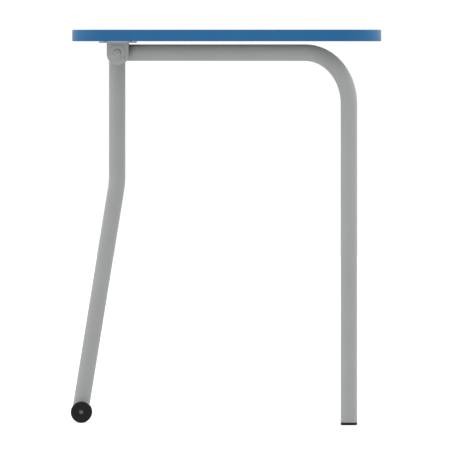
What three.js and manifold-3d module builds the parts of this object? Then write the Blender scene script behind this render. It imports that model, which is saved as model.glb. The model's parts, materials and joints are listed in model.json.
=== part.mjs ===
// Three-legged student desk. A rounded triangular top is clamped to one pivot at its narrow end
// and swings up from level to upright. The frame is round steel tube: one kinked front leg on twin
// wheels, and two side tubes that run out under the top and bend down into the rear legs.
//
// Millimetres, +Z up, origin on the floor below the middle of the desk. +X points to the user,
// the user's left hand is at -Y.

import * as THREE from 'three';
import { mergeVertices } from 'three/addons/utils/BufferGeometryUtils.js';
import Module from 'manifold-3d';

const wasm = await Module();
wasm.setup();

// ---------------------------------------------------------------- driving dimensions

const CLEARANCE = 0.3;            // between pieces that touch
const OVERRUN = 20;               // how far a cutter runs past what it cuts

// Top
const DESK_HEIGHT = 760;
const USER_EDGE_X = 300;
const TOP_DEPTH = 597.5;          // narrow end to user's edge
const TOP_THICKNESS = 22.6;
const TOP_CORNER_RADIUS = 116.6;
const EDGE_BAND_WIDTH = 4;
const EDGE_ROUNDING = 2.2;
const LAMINATE_THICKNESS = 0.9;

// Frame tube
const TUBE_RADIUS = 16;
const TUBE_WALL = 2;
const SPREAD_ANGLE = THREE.MathUtils.degToRad(30);   // each side tube to the X axis, in plan
const REAR_LEG_X = 237.8;
const REAR_BEND_RADIUS = 98;
const RAIL_X = 112;
const RAIL_RADIUS = 12.5;
const RAIL_WALL = 1.5;

// Pivot
const PIVOT_X = -210;
const PIVOT_Z = 715.5;
const SLEEVE_HALF_LENGTH = 31;
const SLEEVE_WALL = 2.5;
const STOP_DISC_RADIUS = 18;
const STOP_DISC_LOBE_RADIUS = 20.5;                    // where the slot runs
const STOP_DISC_LOBE_START = THREE.MathUtils.degToRad(-70);
const STOP_DISC_LOBE_END = THREE.MathUtils.degToRad(60);
const STOP_DISC_THICKNESS = 4;
const STOP_DISC_BORE_RADIUS = 4.8;
const STOP_SLOT_RADIUS = 16;
const STOP_PIN_RADIUS = 2;
const STOP_PIN_HEAD_RADIUS = 4.2;
const STOP_PIN_HEAD_HEIGHT = 1.8;
const STOP_PIN_SETBACK = 1;       // its inner end, from the disc's inner face
const STOP_PIN_ANGLE = THREE.MathUtils.degToRad(-48);
const FLIP_ANGLE = THREE.MathUtils.degToRad(90);
const BUSH_LENGTH = 22;
const BOLT_RADIUS = 4;
const BOLT_HEAD_RADIUS = 7;
const BOLT_HEAD_HEIGHT = 4.4;
const BOLT_SOCKET_RADIUS = 2.9;
const BOLT_SOCKET_DEPTH = 2.6;
const BOLT_FLAT_SHARE = 0.45;     // of the head's radius, round the socket
const BOLT_END_RECESS = 2;        // the bolt's end, inside the knob
const WASHER_RADIUS = 14.5;
const WASHER_THICKNESS = 2;
const FRICTION_WASHER_RADIUS = 9.6;
const FRICTION_WASHER_THICKNESS = 1.1;

// Bracket
const BRACKET_SHIFT_X = 0.9;       // the bracket's middle, from the pivot towards the user
const CHEEK_RADIUS = 21.2;
const CHEEK_ROUND_DROP = 2.8;     // centre of the round end, below the pivot
const CHEEK_THICKNESS = 4;
const PLATE_LENGTH_X = 72;
const PLATE_LENGTH_Y = 150;
const PLATE_THICKNESS = 3;
const PLATE_CORNER_RADIUS = 8;
const PLATE_SCREW_X = 24;
const PLATE_SCREW_Y = 60;
const SCREW_RADIUS = 3;
const SCREW_HEAD_RADIUS = 5.8;
const SCREW_LENGTH = 15;
const SCREW_SOCKET_RADIUS = 2.2;
const SCREW_SOCKET_DEPTH = 1.6;
const INSERT_RADIUS = 4.8;
const INSERT_LENGTH = 14;

// Clamp knob
const KNOB_RADIUS = 17;
const KNOB_LOBES = 6;
const KNOB_LOBE_DEPTH = 2.6;
const KNOB_THICKNESS = 12;
const KNOB_BOSS_RADIUS = 11;
const KNOB_BOSS_LENGTH = 6;
const KNOB_INSERT_RADIUS = 6;
const KNOB_INSERT_RECESS = 1;

// Front leg and wheels
const WHEEL_RADIUS = 20.5;
const AXLE_X = -279.5;
const AXLE_RADIUS = 4;
const AXLE_HALF_LENGTH = 38;
const LEG_TOP_X = -210.5;
const LEG_KINK_Z = 465;
const LEG_KINK_RADIUS = 169;
const LEG_SLOPE = THREE.MathUtils.degToRad(9.15);
const LEG_END_ABOVE_AXLE = 8;
const CARRIER_STEM_LENGTH = 34;
const CARRIER_FLANGE_THICKNESS = 3;
const CARRIER_BOSS_RADIUS = 13;
const CARRIER_NECK_RADIUS = 12;
const CARRIER_HALF_WIDTH = 16.5;
const SPACER_RADIUS = 8;
const SPACER_THICKNESS = 1.2;
const WHEEL_WIDTH = 17;
const HUB_RADIUS = 15;
const HUB_DISH_DEPTH = 2;
const HUB_DISH_RADIUS = 12.5;
const HUB_DISH_FLOOR_RADIUS = 11.5;
const HUB_BUSH_RADIUS = 6;
const TYRE_SHOULDER = 2.5;
const RETAINER_RADIUS = 6.5;
const RETAINER_THICKNESS = 1;

// Rear feet
const GLIDE_RADIUS = 16.4;
const GLIDE_HEIGHT = 4.6;
const GLIDE_CHAMFER = 1;
const GLIDE_STEM_LENGTH = 24;

// Facets
const TUBE_ARC = 12;              // a full circle of a tube has twice as many sides
const SMALL_ARC = 8;
const WHEEL_SIDES = 32;
const PLAIN_SIDES = 24;
const SMALL_SIDES = 16;
const HEXAGON = 6;
const EDGE_STEPS = 3;
const DOME_STEPS = 4;
const LEG_BEND_STEPS = 4;
const REAR_BEND_STEPS = 9;

// ---------------------------------------------------------------- derived places

const UNDERSIDE_Z = DESK_HEIGHT - TOP_THICKNESS;
const CORNER_TRIANGLE_DEPTH = TOP_DEPTH - 2 * TOP_CORNER_RADIUS;
const USER_CORNER_X = USER_EDGE_X - TOP_CORNER_RADIUS;
const USER_CORNER_Y = CORNER_TRIANGLE_DEPTH * Math.tan(SPREAD_ANGLE);
const NARROW_CORNER_X = USER_CORNER_X - CORNER_TRIANGLE_DEPTH;

const SLEEVE_CUT_RADIUS = TUBE_RADIUS + CLEARANCE;
const DISC_INNER_Y = SLEEVE_HALF_LENGTH + CLEARANCE;
const DISC_OUTER_Y = DISC_INNER_Y + STOP_DISC_THICKNESS;
const FRICTION_INNER_Y = DISC_OUTER_Y + CLEARANCE;
const FRICTION_OUTER_Y = FRICTION_INNER_Y + FRICTION_WASHER_THICKNESS;
const CHEEK_INNER_Y = FRICTION_OUTER_Y + CLEARANCE;
const CHEEK_OUTER_Y = CHEEK_INNER_Y + CHEEK_THICKNESS;
const WASHER_INNER_Y = CHEEK_OUTER_Y + CLEARANCE;
const WASHER_OUTER_Y = WASHER_INNER_Y + WASHER_THICKNESS;
const KNOB_INNER_Y = WASHER_OUTER_Y + CLEARANCE;
const KNOB_OUTER_Y = KNOB_INNER_Y + KNOB_BOSS_LENGTH + KNOB_THICKNESS;

const PLATE_TOP_Z = UNDERSIDE_Z - CLEARANCE;
const PLATE_BOTTOM_Z = PLATE_TOP_Z - PLATE_THICKNESS;
const CHEEK_TOP_Z = PLATE_BOTTOM_Z - CLEARANCE;

const AXLE_Z = WHEEL_RADIUS;
const HUB_INNER_Y = CARRIER_HALF_WIDTH + 2 * CLEARANCE + SPACER_THICKNESS;
const HUB_OUTER_Y = HUB_INNER_Y + WHEEL_WIDTH;

const SIDES = [
  { side: 'left', sign: -1 },
  { side: 'right', sign: 1 },
];

// ---------------------------------------------------------------- materials

function finish(color, roughness, metalness) {
  return new THREE.MeshStandardMaterial({ color, roughness, metalness });
}

const greyPaint = () => finish(0xb3b5b4, 0.45, 0);
const bracketPaint = () => finish(0xb1b3b3, 0.48, 0);
const blueEdge = () => finish(0x2970ac, 0.4, 0);
const blueLaminate = () => finish(0x3a74a8, 0.4, 0);
const backingLaminate = () => finish(0x8d9499, 0.6, 0);
const chipboard = () => finish(0xb08c5c, 0.9, 0);
const zincSteel = () => finish(0xb4b8ba, 0.35, 0.9);
const drawnSteel = () => finish(0x7c7c7c, 0.45, 0.8);
const brass = () => finish(0xb58f45, 0.35, 0.9);
const blackPlastic = () => finish(0x26282b, 0.5, 0);
const blackRubber = () => finish(0x1d1e20, 0.8, 0);
const paleNylon = () => finish(0xd9d6cc, 0.5, 0);

// ---------------------------------------------------------------- solids

/** A closed solid for joining and cutting, from any closed geometry. */
function solid(geometry) {
  const bare = geometry.clone();
  bare.deleteAttribute('normal');
  bare.deleteAttribute('uv');
  const merged = mergeVertices(bare, 1e-4);
  const corners = merged.index.array;
  const triangles = [];
  for (let i = 0; i < corners.length; i += 3) {
    const [a, b, c] = [corners[i], corners[i + 1], corners[i + 2]];
    if (a !== b && b !== c && c !== a) triangles.push(a, b, c);
  }
  return new wasm.Manifold(new wasm.Mesh({
    numProp: 3,
    vertProperties: merged.attributes.position.array,
    triVerts: Uint32Array.from(triangles),
  }));
}

/** The geometry of a solid, ready for a mesh. */
function shell(body) {
  const mesh = body.getMesh();
  const geometry = new THREE.BufferGeometry();
  geometry.setAttribute('position', new THREE.BufferAttribute(mesh.vertProperties, 3));
  geometry.setIndex(new THREE.BufferAttribute(mesh.triVerts, 1));
  geometry.computeVertexNormals();
  return geometry;
}

/** A geometry with others taken away from it. */
function cut(geometry, ...cutters) {
  const body = cutters.reduce((rest, cutter) => rest.subtract(solid(cutter)), solid(geometry));
  return shell(body);
}

/** Several overlapping geometries as one. */
function join(first, ...others) {
  const body = others.reduce((sum, other) => sum.add(solid(other)), solid(first));
  return shell(body);
}

/** A ring's outline: a disc with a round hole. */
function ringShape(outerRadius, innerRadius) {
  const shape = new THREE.Shape();
  shape.absarc(0, 0, outerRadius, 0, 2 * Math.PI, false);
  const hole = new THREE.Path();
  hole.absarc(0, 0, innerRadius, 0, 2 * Math.PI, true);
  shape.holes.push(hole);
  return shape;
}

/** An outline drawn in X and Z, given thickness in Y between two places. */
function plateInY(shape, yA, yB, arc = TUBE_ARC) {
  const depth = Math.abs(yB - yA);
  const geometry = new THREE.ExtrudeGeometry(shape, { depth, bevelEnabled: false, curveSegments: arc });
  geometry.rotateX(Math.PI / 2);
  geometry.translate(0, Math.max(yA, yB), 0);
  return geometry;
}

/** An outline drawn in X and Y, given thickness in Z between two heights. */
function plateInZ(shape, zLow, zHigh, arc = TUBE_ARC) {
  const depth = zHigh - zLow;
  const geometry = new THREE.ExtrudeGeometry(shape, { depth, bevelEnabled: false, curveSegments: arc });
  geometry.translate(0, 0, zLow);
  return geometry;
}

function ringInY(outerRadius, innerRadius, yA, yB, arc) {
  return plateInY(ringShape(outerRadius, innerRadius), yA, yB, arc);
}

/** A full cylinder along Y between two places. */
function rodInY(radius, yA, yB, sides = SMALL_SIDES) {
  const geometry = new THREE.CylinderGeometry(radius, radius, Math.abs(yB - yA), sides);
  geometry.translate(0, (yA + yB) / 2, 0);
  return geometry;
}

/** A shape turned about the Y axis from [radius, y] corners, listed with y rising on the outside. */
function turnedInY(corners, sides) {
  return new THREE.LatheGeometry(corners.map(([r, y]) => new THREE.Vector2(r, y)), sides);
}

/** The same, about the Z axis. */
function turnedInZ(corners, sides) {
  const geometry = turnedInY(corners, sides);
  geometry.rotateX(Math.PI / 2);
  return geometry;
}

/** A turned shape that faces +Y, swung round to face the given side. */
function faceSide(geometry, sign) {
  if (sign < 0) geometry.rotateX(Math.PI);
  return geometry;
}

// ---------------------------------------------------------------- bent tube

/** A path sampled only at listed stations, so that straight stretches stay one facet long. */
class StationPath extends THREE.Curve {
  constructor(stations) {
    super();
    this.stations = stations;
  }

  stationAt(u) {
    return this.stations[Math.round(u * (this.stations.length - 1))];
  }

  getPointAt(u) {
    return this.stationAt(u).point.clone();
  }

  getTangentAt(u) {
    return this.stationAt(u).tangent.clone();
  }
}

/** Stations of a path that starts along one direction, turns once on an arc, and runs on straight. */
function bentPath(start, startDirection, corner, endDirection, end, radius, steps) {
  const turn = startDirection.angleTo(endDirection);
  const setback = radius * Math.tan(turn / 2);
  const arcStart = corner.clone().addScaledVector(startDirection, -setback);
  const inward = endDirection.clone().addScaledVector(startDirection, -startDirection.dot(endDirection));
  inward.normalize();
  const stations = [{ point: start, tangent: startDirection }];
  for (let i = 0; i <= steps; i += 1) {
    const angle = turn * i / steps;
    const point = arcStart.clone()
      .addScaledVector(startDirection, radius * Math.sin(angle))
      .addScaledVector(inward, radius * (1 - Math.cos(angle)));
    const tangent = startDirection.clone().multiplyScalar(Math.cos(angle))
      .addScaledVector(inward, Math.sin(angle));
    stations.push({ point, tangent });
  }
  stations.push({ point: end, tangent: endDirection });
  return stations;
}

function bentTube(stations, radius, wall) {
  return new THREE.ExtrudeGeometry(ringShape(radius, radius - wall), {
    steps: stations.length - 1,
    extrudePath: new StationPath(stations),
    curveSegments: TUBE_ARC,
    bevelEnabled: false,
  });
}

// ---------------------------------------------------------------- top

/** The top's plan: three equal corner arcs joined by straight sides, drawn in by an inset. */
function topOutline(inset) {
  const radius = TOP_CORNER_RADIUS - inset;
  const third = 2 * Math.PI / 3;
  const shape = new THREE.Shape();
  shape.absarc(USER_CORNER_X, -USER_CORNER_Y, radius, -third, 0, false);
  shape.absarc(USER_CORNER_X, USER_CORNER_Y, radius, 0, third, false);
  shape.absarc(NARROW_CORNER_X, 0, radius, third, 2 * third, false);
  shape.closePath();
  return shape;
}

function edgeBand() {
  const rounded = new THREE.ExtrudeGeometry(topOutline(0), {
    depth: TOP_THICKNESS - 2 * EDGE_ROUNDING,
    bevelThickness: EDGE_ROUNDING,
    bevelSize: EDGE_ROUNDING,
    bevelOffset: -EDGE_ROUNDING,
    bevelSegments: EDGE_STEPS,
    curveSegments: TUBE_ARC,
  });
  rounded.translate(0, 0, UNDERSIDE_Z + EDGE_ROUNDING);
  const inside = plateInZ(topOutline(EDGE_BAND_WIDTH), UNDERSIDE_Z - OVERRUN, DESK_HEIGHT + OVERRUN);
  return cut(rounded, inside);
}

/** The four screw places in the bracket plate, in plan. */
function plateScrewPlaces() {
  const places = [];
  for (const x of [-PLATE_SCREW_X, PLATE_SCREW_X]) {
    for (const y of [-PLATE_SCREW_Y, PLATE_SCREW_Y]) {
      places.push({ x: PIVOT_X + BRACKET_SHIFT_X + x, y });
    }
  }
  return places;
}

/** A layer of the top inside the edge band, with a round hole at each screw. */
function topLayer(zLow, zHigh, holeRadius) {
  const shape = topOutline(EDGE_BAND_WIDTH + CLEARANCE);
  if (holeRadius) {
    for (const { x, y } of plateScrewPlaces()) {
      const hole = new THREE.Path();
      hole.absarc(x, y, holeRadius, 0, 2 * Math.PI, true);
      shape.holes.push(hole);
    }
  }
  return plateInZ(shape, zLow, zHigh);
}

function coreBoard(zLow, zHigh) {
  const holeDepth = INSERT_LENGTH + CLEARANCE;
  const holes = plateScrewPlaces().map(({ x, y }) => {
    const hole = new THREE.CylinderGeometry(
      INSERT_RADIUS + CLEARANCE, INSERT_RADIUS + CLEARANCE, holeDepth + OVERRUN, SMALL_SIDES);
    hole.rotateX(Math.PI / 2);
    hole.translate(x, y, zLow + (holeDepth - OVERRUN) / 2);
    return hole;
  });
  return cut(topLayer(zLow, zHigh, 0), ...holes);
}

function bracketPlate() {
  const halfX = PLATE_LENGTH_X / 2 - PLATE_CORNER_RADIUS;
  const halfY = PLATE_LENGTH_Y / 2 - PLATE_CORNER_RADIUS;
  const quarter = Math.PI / 2;
  const shape = new THREE.Shape();
  shape.absarc(halfX, -halfY, PLATE_CORNER_RADIUS, -quarter, 0, false);
  shape.absarc(halfX, halfY, PLATE_CORNER_RADIUS, 0, quarter, false);
  shape.absarc(-halfX, halfY, PLATE_CORNER_RADIUS, quarter, 2 * quarter, false);
  shape.absarc(-halfX, -halfY, PLATE_CORNER_RADIUS, 2 * quarter, 3 * quarter, false);
  shape.closePath();
  const plate = plateInZ(shape, PLATE_BOTTOM_Z, PLATE_TOP_Z, SMALL_ARC);
  plate.translate(PIVOT_X + BRACKET_SHIFT_X, 0, 0);
  const countersinks = plateScrewPlaces().map(({ x, y }) => {
    const sink = turnedInZ([
      [0, -OVERRUN],
      [SCREW_HEAD_RADIUS + CLEARANCE, -OVERRUN],
      [SCREW_HEAD_RADIUS + CLEARANCE, 0],
      [SCREW_RADIUS + CLEARANCE, SCREW_HEAD_RADIUS - SCREW_RADIUS],
      [SCREW_RADIUS + CLEARANCE, OVERRUN],
      [0, OVERRUN],
    ], SMALL_SIDES);
    sink.translate(x, y, PLATE_BOTTOM_Z);
    return sink;
  });
  return cut(plate, ...countersinks);
}

/** A bracket cheek about the pivot: straight sides, a half-round lower end, two round holes. */
function cheek(sign) {
  const shape = new THREE.Shape();
  shape.moveTo(BRACKET_SHIFT_X + CHEEK_RADIUS, CHEEK_TOP_Z - PIVOT_Z);
  shape.lineTo(BRACKET_SHIFT_X - CHEEK_RADIUS, CHEEK_TOP_Z - PIVOT_Z);
  shape.absarc(BRACKET_SHIFT_X, -CHEEK_ROUND_DROP, CHEEK_RADIUS, Math.PI, 2 * Math.PI, false);
  shape.closePath();
  const boltHole = new THREE.Path();
  boltHole.absarc(0, 0, BOLT_RADIUS + CLEARANCE, 0, 2 * Math.PI, true);
  const pinHole = new THREE.Path();
  const pin = stopPinPlace();
  pinHole.absarc(pin.x, pin.z, STOP_PIN_RADIUS + CLEARANCE, 0, 2 * Math.PI, true);
  shape.holes.push(boltHole, pinHole);
  return plateInY(shape, sign * CHEEK_INNER_Y, sign * CHEEK_OUTER_Y);
}

function stopPinPlace() {
  return {
    x: STOP_SLOT_RADIUS * Math.cos(STOP_PIN_ANGLE),
    z: STOP_SLOT_RADIUS * Math.sin(STOP_PIN_ANGLE),
  };
}

/** A headed pin through the cheek, with its inner end in the stop disc's slot. */
function stopPin(sign) {
  const innerEnd = DISC_INNER_Y + STOP_PIN_SETBACK;
  const headBase = CHEEK_OUTER_Y + CLEARANCE;
  const pin = turnedInY([
    [0, innerEnd],
    [STOP_PIN_RADIUS, innerEnd],
    [STOP_PIN_RADIUS, headBase],
    [STOP_PIN_HEAD_RADIUS, headBase],
    [STOP_PIN_HEAD_RADIUS, headBase + STOP_PIN_HEAD_HEIGHT],
    [0, headBase + STOP_PIN_HEAD_HEIGHT],
  ], SMALL_SIDES);
  faceSide(pin, sign);
  const { x, z } = stopPinPlace();
  pin.translate(x, 0, z);
  return pin;
}

/** A large washer, notched so that the stop pin's head keeps it from turning. */
function pivotWasher(sign) {
  const washer = ringInY(
    WASHER_RADIUS, BOLT_RADIUS + CLEARANCE, sign * WASHER_INNER_Y, sign * WASHER_OUTER_Y);
  const notch = rodInY(
    STOP_PIN_HEAD_RADIUS + CLEARANCE, sign * WASHER_INNER_Y - OVERRUN, sign * WASHER_OUTER_Y + OVERRUN,
    PLAIN_SIDES);
  const { x, z } = stopPinPlace();
  notch.translate(x, 0, z);
  return cut(washer, notch);
}

/** A countersunk machine screw, head down, with a hexagon socket. */
function plateScrew() {
  const corners = [
    [0, CLEARANCE],
    [SCREW_HEAD_RADIUS, CLEARANCE],
    [SCREW_RADIUS, CLEARANCE + SCREW_HEAD_RADIUS - SCREW_RADIUS],
    [SCREW_RADIUS, SCREW_LENGTH],
    [0, SCREW_LENGTH],
  ];
  const socketEnd = CLEARANCE + SCREW_SOCKET_DEPTH;
  const socket = rodInY(SCREW_SOCKET_RADIUS, -socketEnd, socketEnd, HEXAGON);
  socket.rotateX(Math.PI / 2);
  return cut(turnedInZ(corners, SMALL_SIDES), socket);
}

function pivotBolt() {
  const shankEnd = KNOB_OUTER_Y - BOLT_END_RECESS;
  const headBase = -WASHER_OUTER_Y - CLEARANCE;
  const headTop = headBase - BOLT_HEAD_HEIGHT;
  const corners = [[0, headTop]];
  for (let i = 0; i <= DOME_STEPS; i += 1) {
    const angle = (Math.PI / 2) * i / DOME_STEPS;
    const radius = BOLT_HEAD_RADIUS * (BOLT_FLAT_SHARE + (1 - BOLT_FLAT_SHARE) * Math.sin(angle));
    corners.push([radius, headBase - BOLT_HEAD_HEIGHT * Math.cos(angle)]);
  }
  corners.push([BOLT_RADIUS, headBase], [BOLT_RADIUS, shankEnd], [0, shankEnd]);
  const socket = rodInY(
    BOLT_SOCKET_RADIUS, headTop - BOLT_SOCKET_DEPTH, headTop + BOLT_SOCKET_DEPTH, HEXAGON);
  return cut(turnedInY(corners, PLAIN_SIDES), socket);
}

// ---------------------------------------------------------------- clamp knob

/** A lobed knob whose narrow boss faces the bracket. */
function clampKnob() {
  const shape = new THREE.Shape();
  const points = [];
  const count = KNOB_LOBES * SMALL_ARC;
  for (let i = 0; i < count; i += 1) {
    const angle = 2 * Math.PI * i / count;
    const radius = KNOB_RADIUS - KNOB_LOBE_DEPTH * (1 + Math.cos(KNOB_LOBES * angle)) / 2;
    points.push(new THREE.Vector2(radius * Math.cos(angle), radius * Math.sin(angle)));
  }
  shape.setFromPoints(points);
  const grip = plateInY(shape, KNOB_INNER_Y + KNOB_BOSS_LENGTH, KNOB_OUTER_Y);
  const boss = rodInY(KNOB_BOSS_RADIUS, KNOB_INNER_Y, KNOB_OUTER_Y - KNOB_THICKNESS / 2, PLAIN_SIDES);
  const bore = rodInY(KNOB_INSERT_RADIUS + CLEARANCE, KNOB_INNER_Y - OVERRUN, KNOB_OUTER_Y + OVERRUN);
  return cut(join(grip, boss), bore);
}

// ---------------------------------------------------------------- frame

/** The outside of a side tube's first straight stretch, with clearance, for coping others to it. */
function sideTubeCutter(sign) {
  const length = 2 * (RAIL_X - PIVOT_X);
  const cutter = new THREE.CylinderGeometry(
    SLEEVE_CUT_RADIUS, SLEEVE_CUT_RADIUS, length, 2 * TUBE_ARC);
  cutter.rotateZ(-Math.PI / 2);
  cutter.translate(length / 2, 0, 0);
  cutter.rotateZ(sign * SPREAD_ANGLE);
  cutter.translate(PIVOT_X, 0, PIVOT_Z);
  return cutter;
}

/** The outside of the pivot sleeve, with clearance. */
function sleeveCutter() {
  const cutter = rodInY(SLEEVE_CUT_RADIUS, -SLEEVE_HALF_LENGTH, SLEEVE_HALF_LENGTH, 2 * TUBE_ARC);
  cutter.translate(PIVOT_X, 0, PIVOT_Z);
  return cutter;
}

/** Centre line of the front leg: straight down, one kink, then down towards the narrow end. */
function frontLegStations() {
  const down = new THREE.Vector3(0, 0, -1);
  const slant = new THREE.Vector3(-Math.sin(LEG_SLOPE), 0, -Math.cos(LEG_SLOPE));
  const start = new THREE.Vector3(LEG_TOP_X, 0, PIVOT_Z);
  const kink = new THREE.Vector3(LEG_TOP_X, 0, LEG_KINK_Z);
  const run = (LEG_KINK_Z - AXLE_Z - LEG_END_ABOVE_AXLE) / Math.cos(LEG_SLOPE);
  const end = kink.clone().addScaledVector(slant, run);
  return bentPath(start, down, kink, slant, end, LEG_KINK_RADIUS, LEG_BEND_STEPS);
}

function frontLeg() {
  const leg = bentTube(frontLegStations(), TUBE_RADIUS, TUBE_WALL);
  return cut(leg, sleeveCutter());
}

/** One side tube: out from the pivot under the top, bent down into its rear leg. */
function sideTube(sign) {
  const out = new THREE.Vector3(Math.cos(SPREAD_ANGLE), sign * Math.sin(SPREAD_ANGLE), 0);
  const down = new THREE.Vector3(0, 0, -1);
  const start = new THREE.Vector3(PIVOT_X, 0, PIVOT_Z);
  const corner = start.clone().addScaledVector(out, (REAR_LEG_X - PIVOT_X) / out.x);
  const end = corner.clone();
  end.z = GLIDE_HEIGHT + CLEARANCE;
  const stations = bentPath(start, out, corner, down, end, REAR_BEND_RADIUS, REAR_BEND_STEPS);
  const tube = bentTube(stations, TUBE_RADIUS, TUBE_WALL);

  const reach = 6 * TUBE_RADIUS;
  const mitre = new THREE.BoxGeometry(reach, reach, reach);
  mitre.translate(PIVOT_X, -sign * (reach - CLEARANCE) / 2, PIVOT_Z);
  const legTop = rodInY(SLEEVE_CUT_RADIUS, -reach, 0, 2 * TUBE_ARC);
  legTop.rotateX(Math.PI / 2);
  legTop.translate(LEG_TOP_X, 0, PIVOT_Z);
  return cut(tube, sleeveCutter(), mitre, legTop);
}

function crossRail() {
  const reach = (RAIL_X - PIVOT_X) * Math.tan(SPREAD_ANGLE);
  const rail = ringInY(RAIL_RADIUS, RAIL_RADIUS - RAIL_WALL, -reach, reach);
  rail.translate(RAIL_X, 0, PIVOT_Z);
  return cut(rail, sideTubeCutter(-1), sideTubeCutter(1));
}

/** A disc on the sleeve's end, with an arc slot as long as the top's swing. */
function stopDisc(sign) {
  const slotHalfWidth = STOP_PIN_RADIUS + CLEARANCE;
  const first = STOP_PIN_ANGLE;
  const last = STOP_PIN_ANGLE + FLIP_ANGLE;
  const endAt = (angle) => [STOP_SLOT_RADIUS * Math.cos(angle), STOP_SLOT_RADIUS * Math.sin(angle)];
  const slot = new THREE.Path();
  slot.absarc(0, 0, STOP_SLOT_RADIUS + slotHalfWidth, first, last, false);
  slot.absarc(...endAt(last), slotHalfWidth, last, last + Math.PI, false);
  slot.absarc(0, 0, STOP_SLOT_RADIUS - slotHalfWidth, last, first, true);
  slot.absarc(...endAt(first), slotHalfWidth, first + Math.PI, first + 2 * Math.PI, false);
  const shape = new THREE.Shape();
  shape.absarc(0, 0, STOP_DISC_LOBE_RADIUS, STOP_DISC_LOBE_START, STOP_DISC_LOBE_END, false);
  shape.absarc(0, 0, STOP_DISC_RADIUS, STOP_DISC_LOBE_END, STOP_DISC_LOBE_START + 2 * Math.PI, false);
  shape.closePath();
  const bore = new THREE.Path();
  bore.absarc(0, 0, STOP_DISC_BORE_RADIUS, 0, 2 * Math.PI, true);
  shape.holes.push(bore, slot);
  return plateInY(shape, sign * DISC_INNER_Y, sign * DISC_OUTER_Y, SMALL_ARC);
}

/** Moulded plug that closes the front leg and holds the axle, drawn about the axle's centre. */
function wheelCarrier() {
  const stations = frontLegStations();
  const legEnd = stations[stations.length - 1].point;
  const flangeTop = -CLEARANCE;
  const flangeBottom = flangeTop - CARRIER_FLANGE_THICKNESS;
  const neckBottom = -LEG_END_ABOVE_AXLE;
  const plug = turnedInZ([
    [0, neckBottom],
    [CARRIER_NECK_RADIUS, neckBottom],
    [CARRIER_NECK_RADIUS, flangeBottom],
    [TUBE_RADIUS, flangeBottom],
    [TUBE_RADIUS, flangeTop],
    [TUBE_RADIUS - TUBE_WALL - CLEARANCE, flangeTop],
    [TUBE_RADIUS - TUBE_WALL - CLEARANCE, CARRIER_STEM_LENGTH],
    [0, CARRIER_STEM_LENGTH],
  ], PLAIN_SIDES);
  const aboveFlange = turnedInZ([
    [0, flangeTop],
    [2 * TUBE_RADIUS, flangeTop],
    [2 * TUBE_RADIUS, CARRIER_STEM_LENGTH],
    [0, CARRIER_STEM_LENGTH],
  ], PLAIN_SIDES);
  for (const piece of [plug, aboveFlange]) {
    piece.rotateY(LEG_SLOPE);
    piece.translate(legEnd.x - AXLE_X, 0, legEnd.z - AXLE_Z);
  }
  const boss = rodInY(CARRIER_BOSS_RADIUS, -CARRIER_HALF_WIDTH, CARRIER_HALF_WIDTH, PLAIN_SIDES);
  const bore = rodInY(AXLE_RADIUS + CLEARANCE, -2 * CARRIER_HALF_WIDTH, 2 * CARRIER_HALF_WIDTH);
  return cut(join(cut(boss, aboveFlange), plug), bore);
}

function rearGlide() {
  const stemRadius = TUBE_RADIUS - TUBE_WALL - CLEARANCE;
  return turnedInZ([
    [0, 0],
    [GLIDE_RADIUS - GLIDE_CHAMFER, 0],
    [GLIDE_RADIUS, GLIDE_CHAMFER],
    [GLIDE_RADIUS, GLIDE_HEIGHT],
    [stemRadius, GLIDE_HEIGHT],
    [stemRadius, GLIDE_HEIGHT + GLIDE_STEM_LENGTH],
    [0, GLIDE_HEIGHT + GLIDE_STEM_LENGTH],
  ], 2 * TUBE_ARC);
}

// ---------------------------------------------------------------- wheels

/** A wheel's hub, dished on its outer face, drawn on +Y. */
function wheelHub() {
  const bore = HUB_BUSH_RADIUS + CLEARANCE;
  const dishFloor = HUB_OUTER_Y - HUB_DISH_DEPTH;
  return turnedInY([
    [bore, HUB_INNER_Y],
    [HUB_RADIUS, HUB_INNER_Y],
    [HUB_RADIUS, HUB_OUTER_Y],
    [HUB_DISH_RADIUS, HUB_OUTER_Y],
    [HUB_DISH_FLOOR_RADIUS, dishFloor],
    [bore, dishFloor],
    [bore, HUB_INNER_Y],
  ], WHEEL_SIDES);
}

function wheelTyre() {
  const inner = HUB_RADIUS + CLEARANCE;
  return turnedInY([
    [inner, HUB_INNER_Y],
    [WHEEL_RADIUS - TYRE_SHOULDER, HUB_INNER_Y],
    [WHEEL_RADIUS, HUB_INNER_Y + TYRE_SHOULDER],
    [WHEEL_RADIUS, HUB_OUTER_Y - TYRE_SHOULDER],
    [WHEEL_RADIUS - TYRE_SHOULDER, HUB_OUTER_Y],
    [inner, HUB_OUTER_Y],
    [inner, HUB_INNER_Y],
  ], WHEEL_SIDES);
}

// ---------------------------------------------------------------- assembly

function place(group, name, geometry, material) {
  const mesh = new THREE.Mesh(geometry, material);
  mesh.name = name;
  group.add(mesh);
  return mesh;
}

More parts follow.
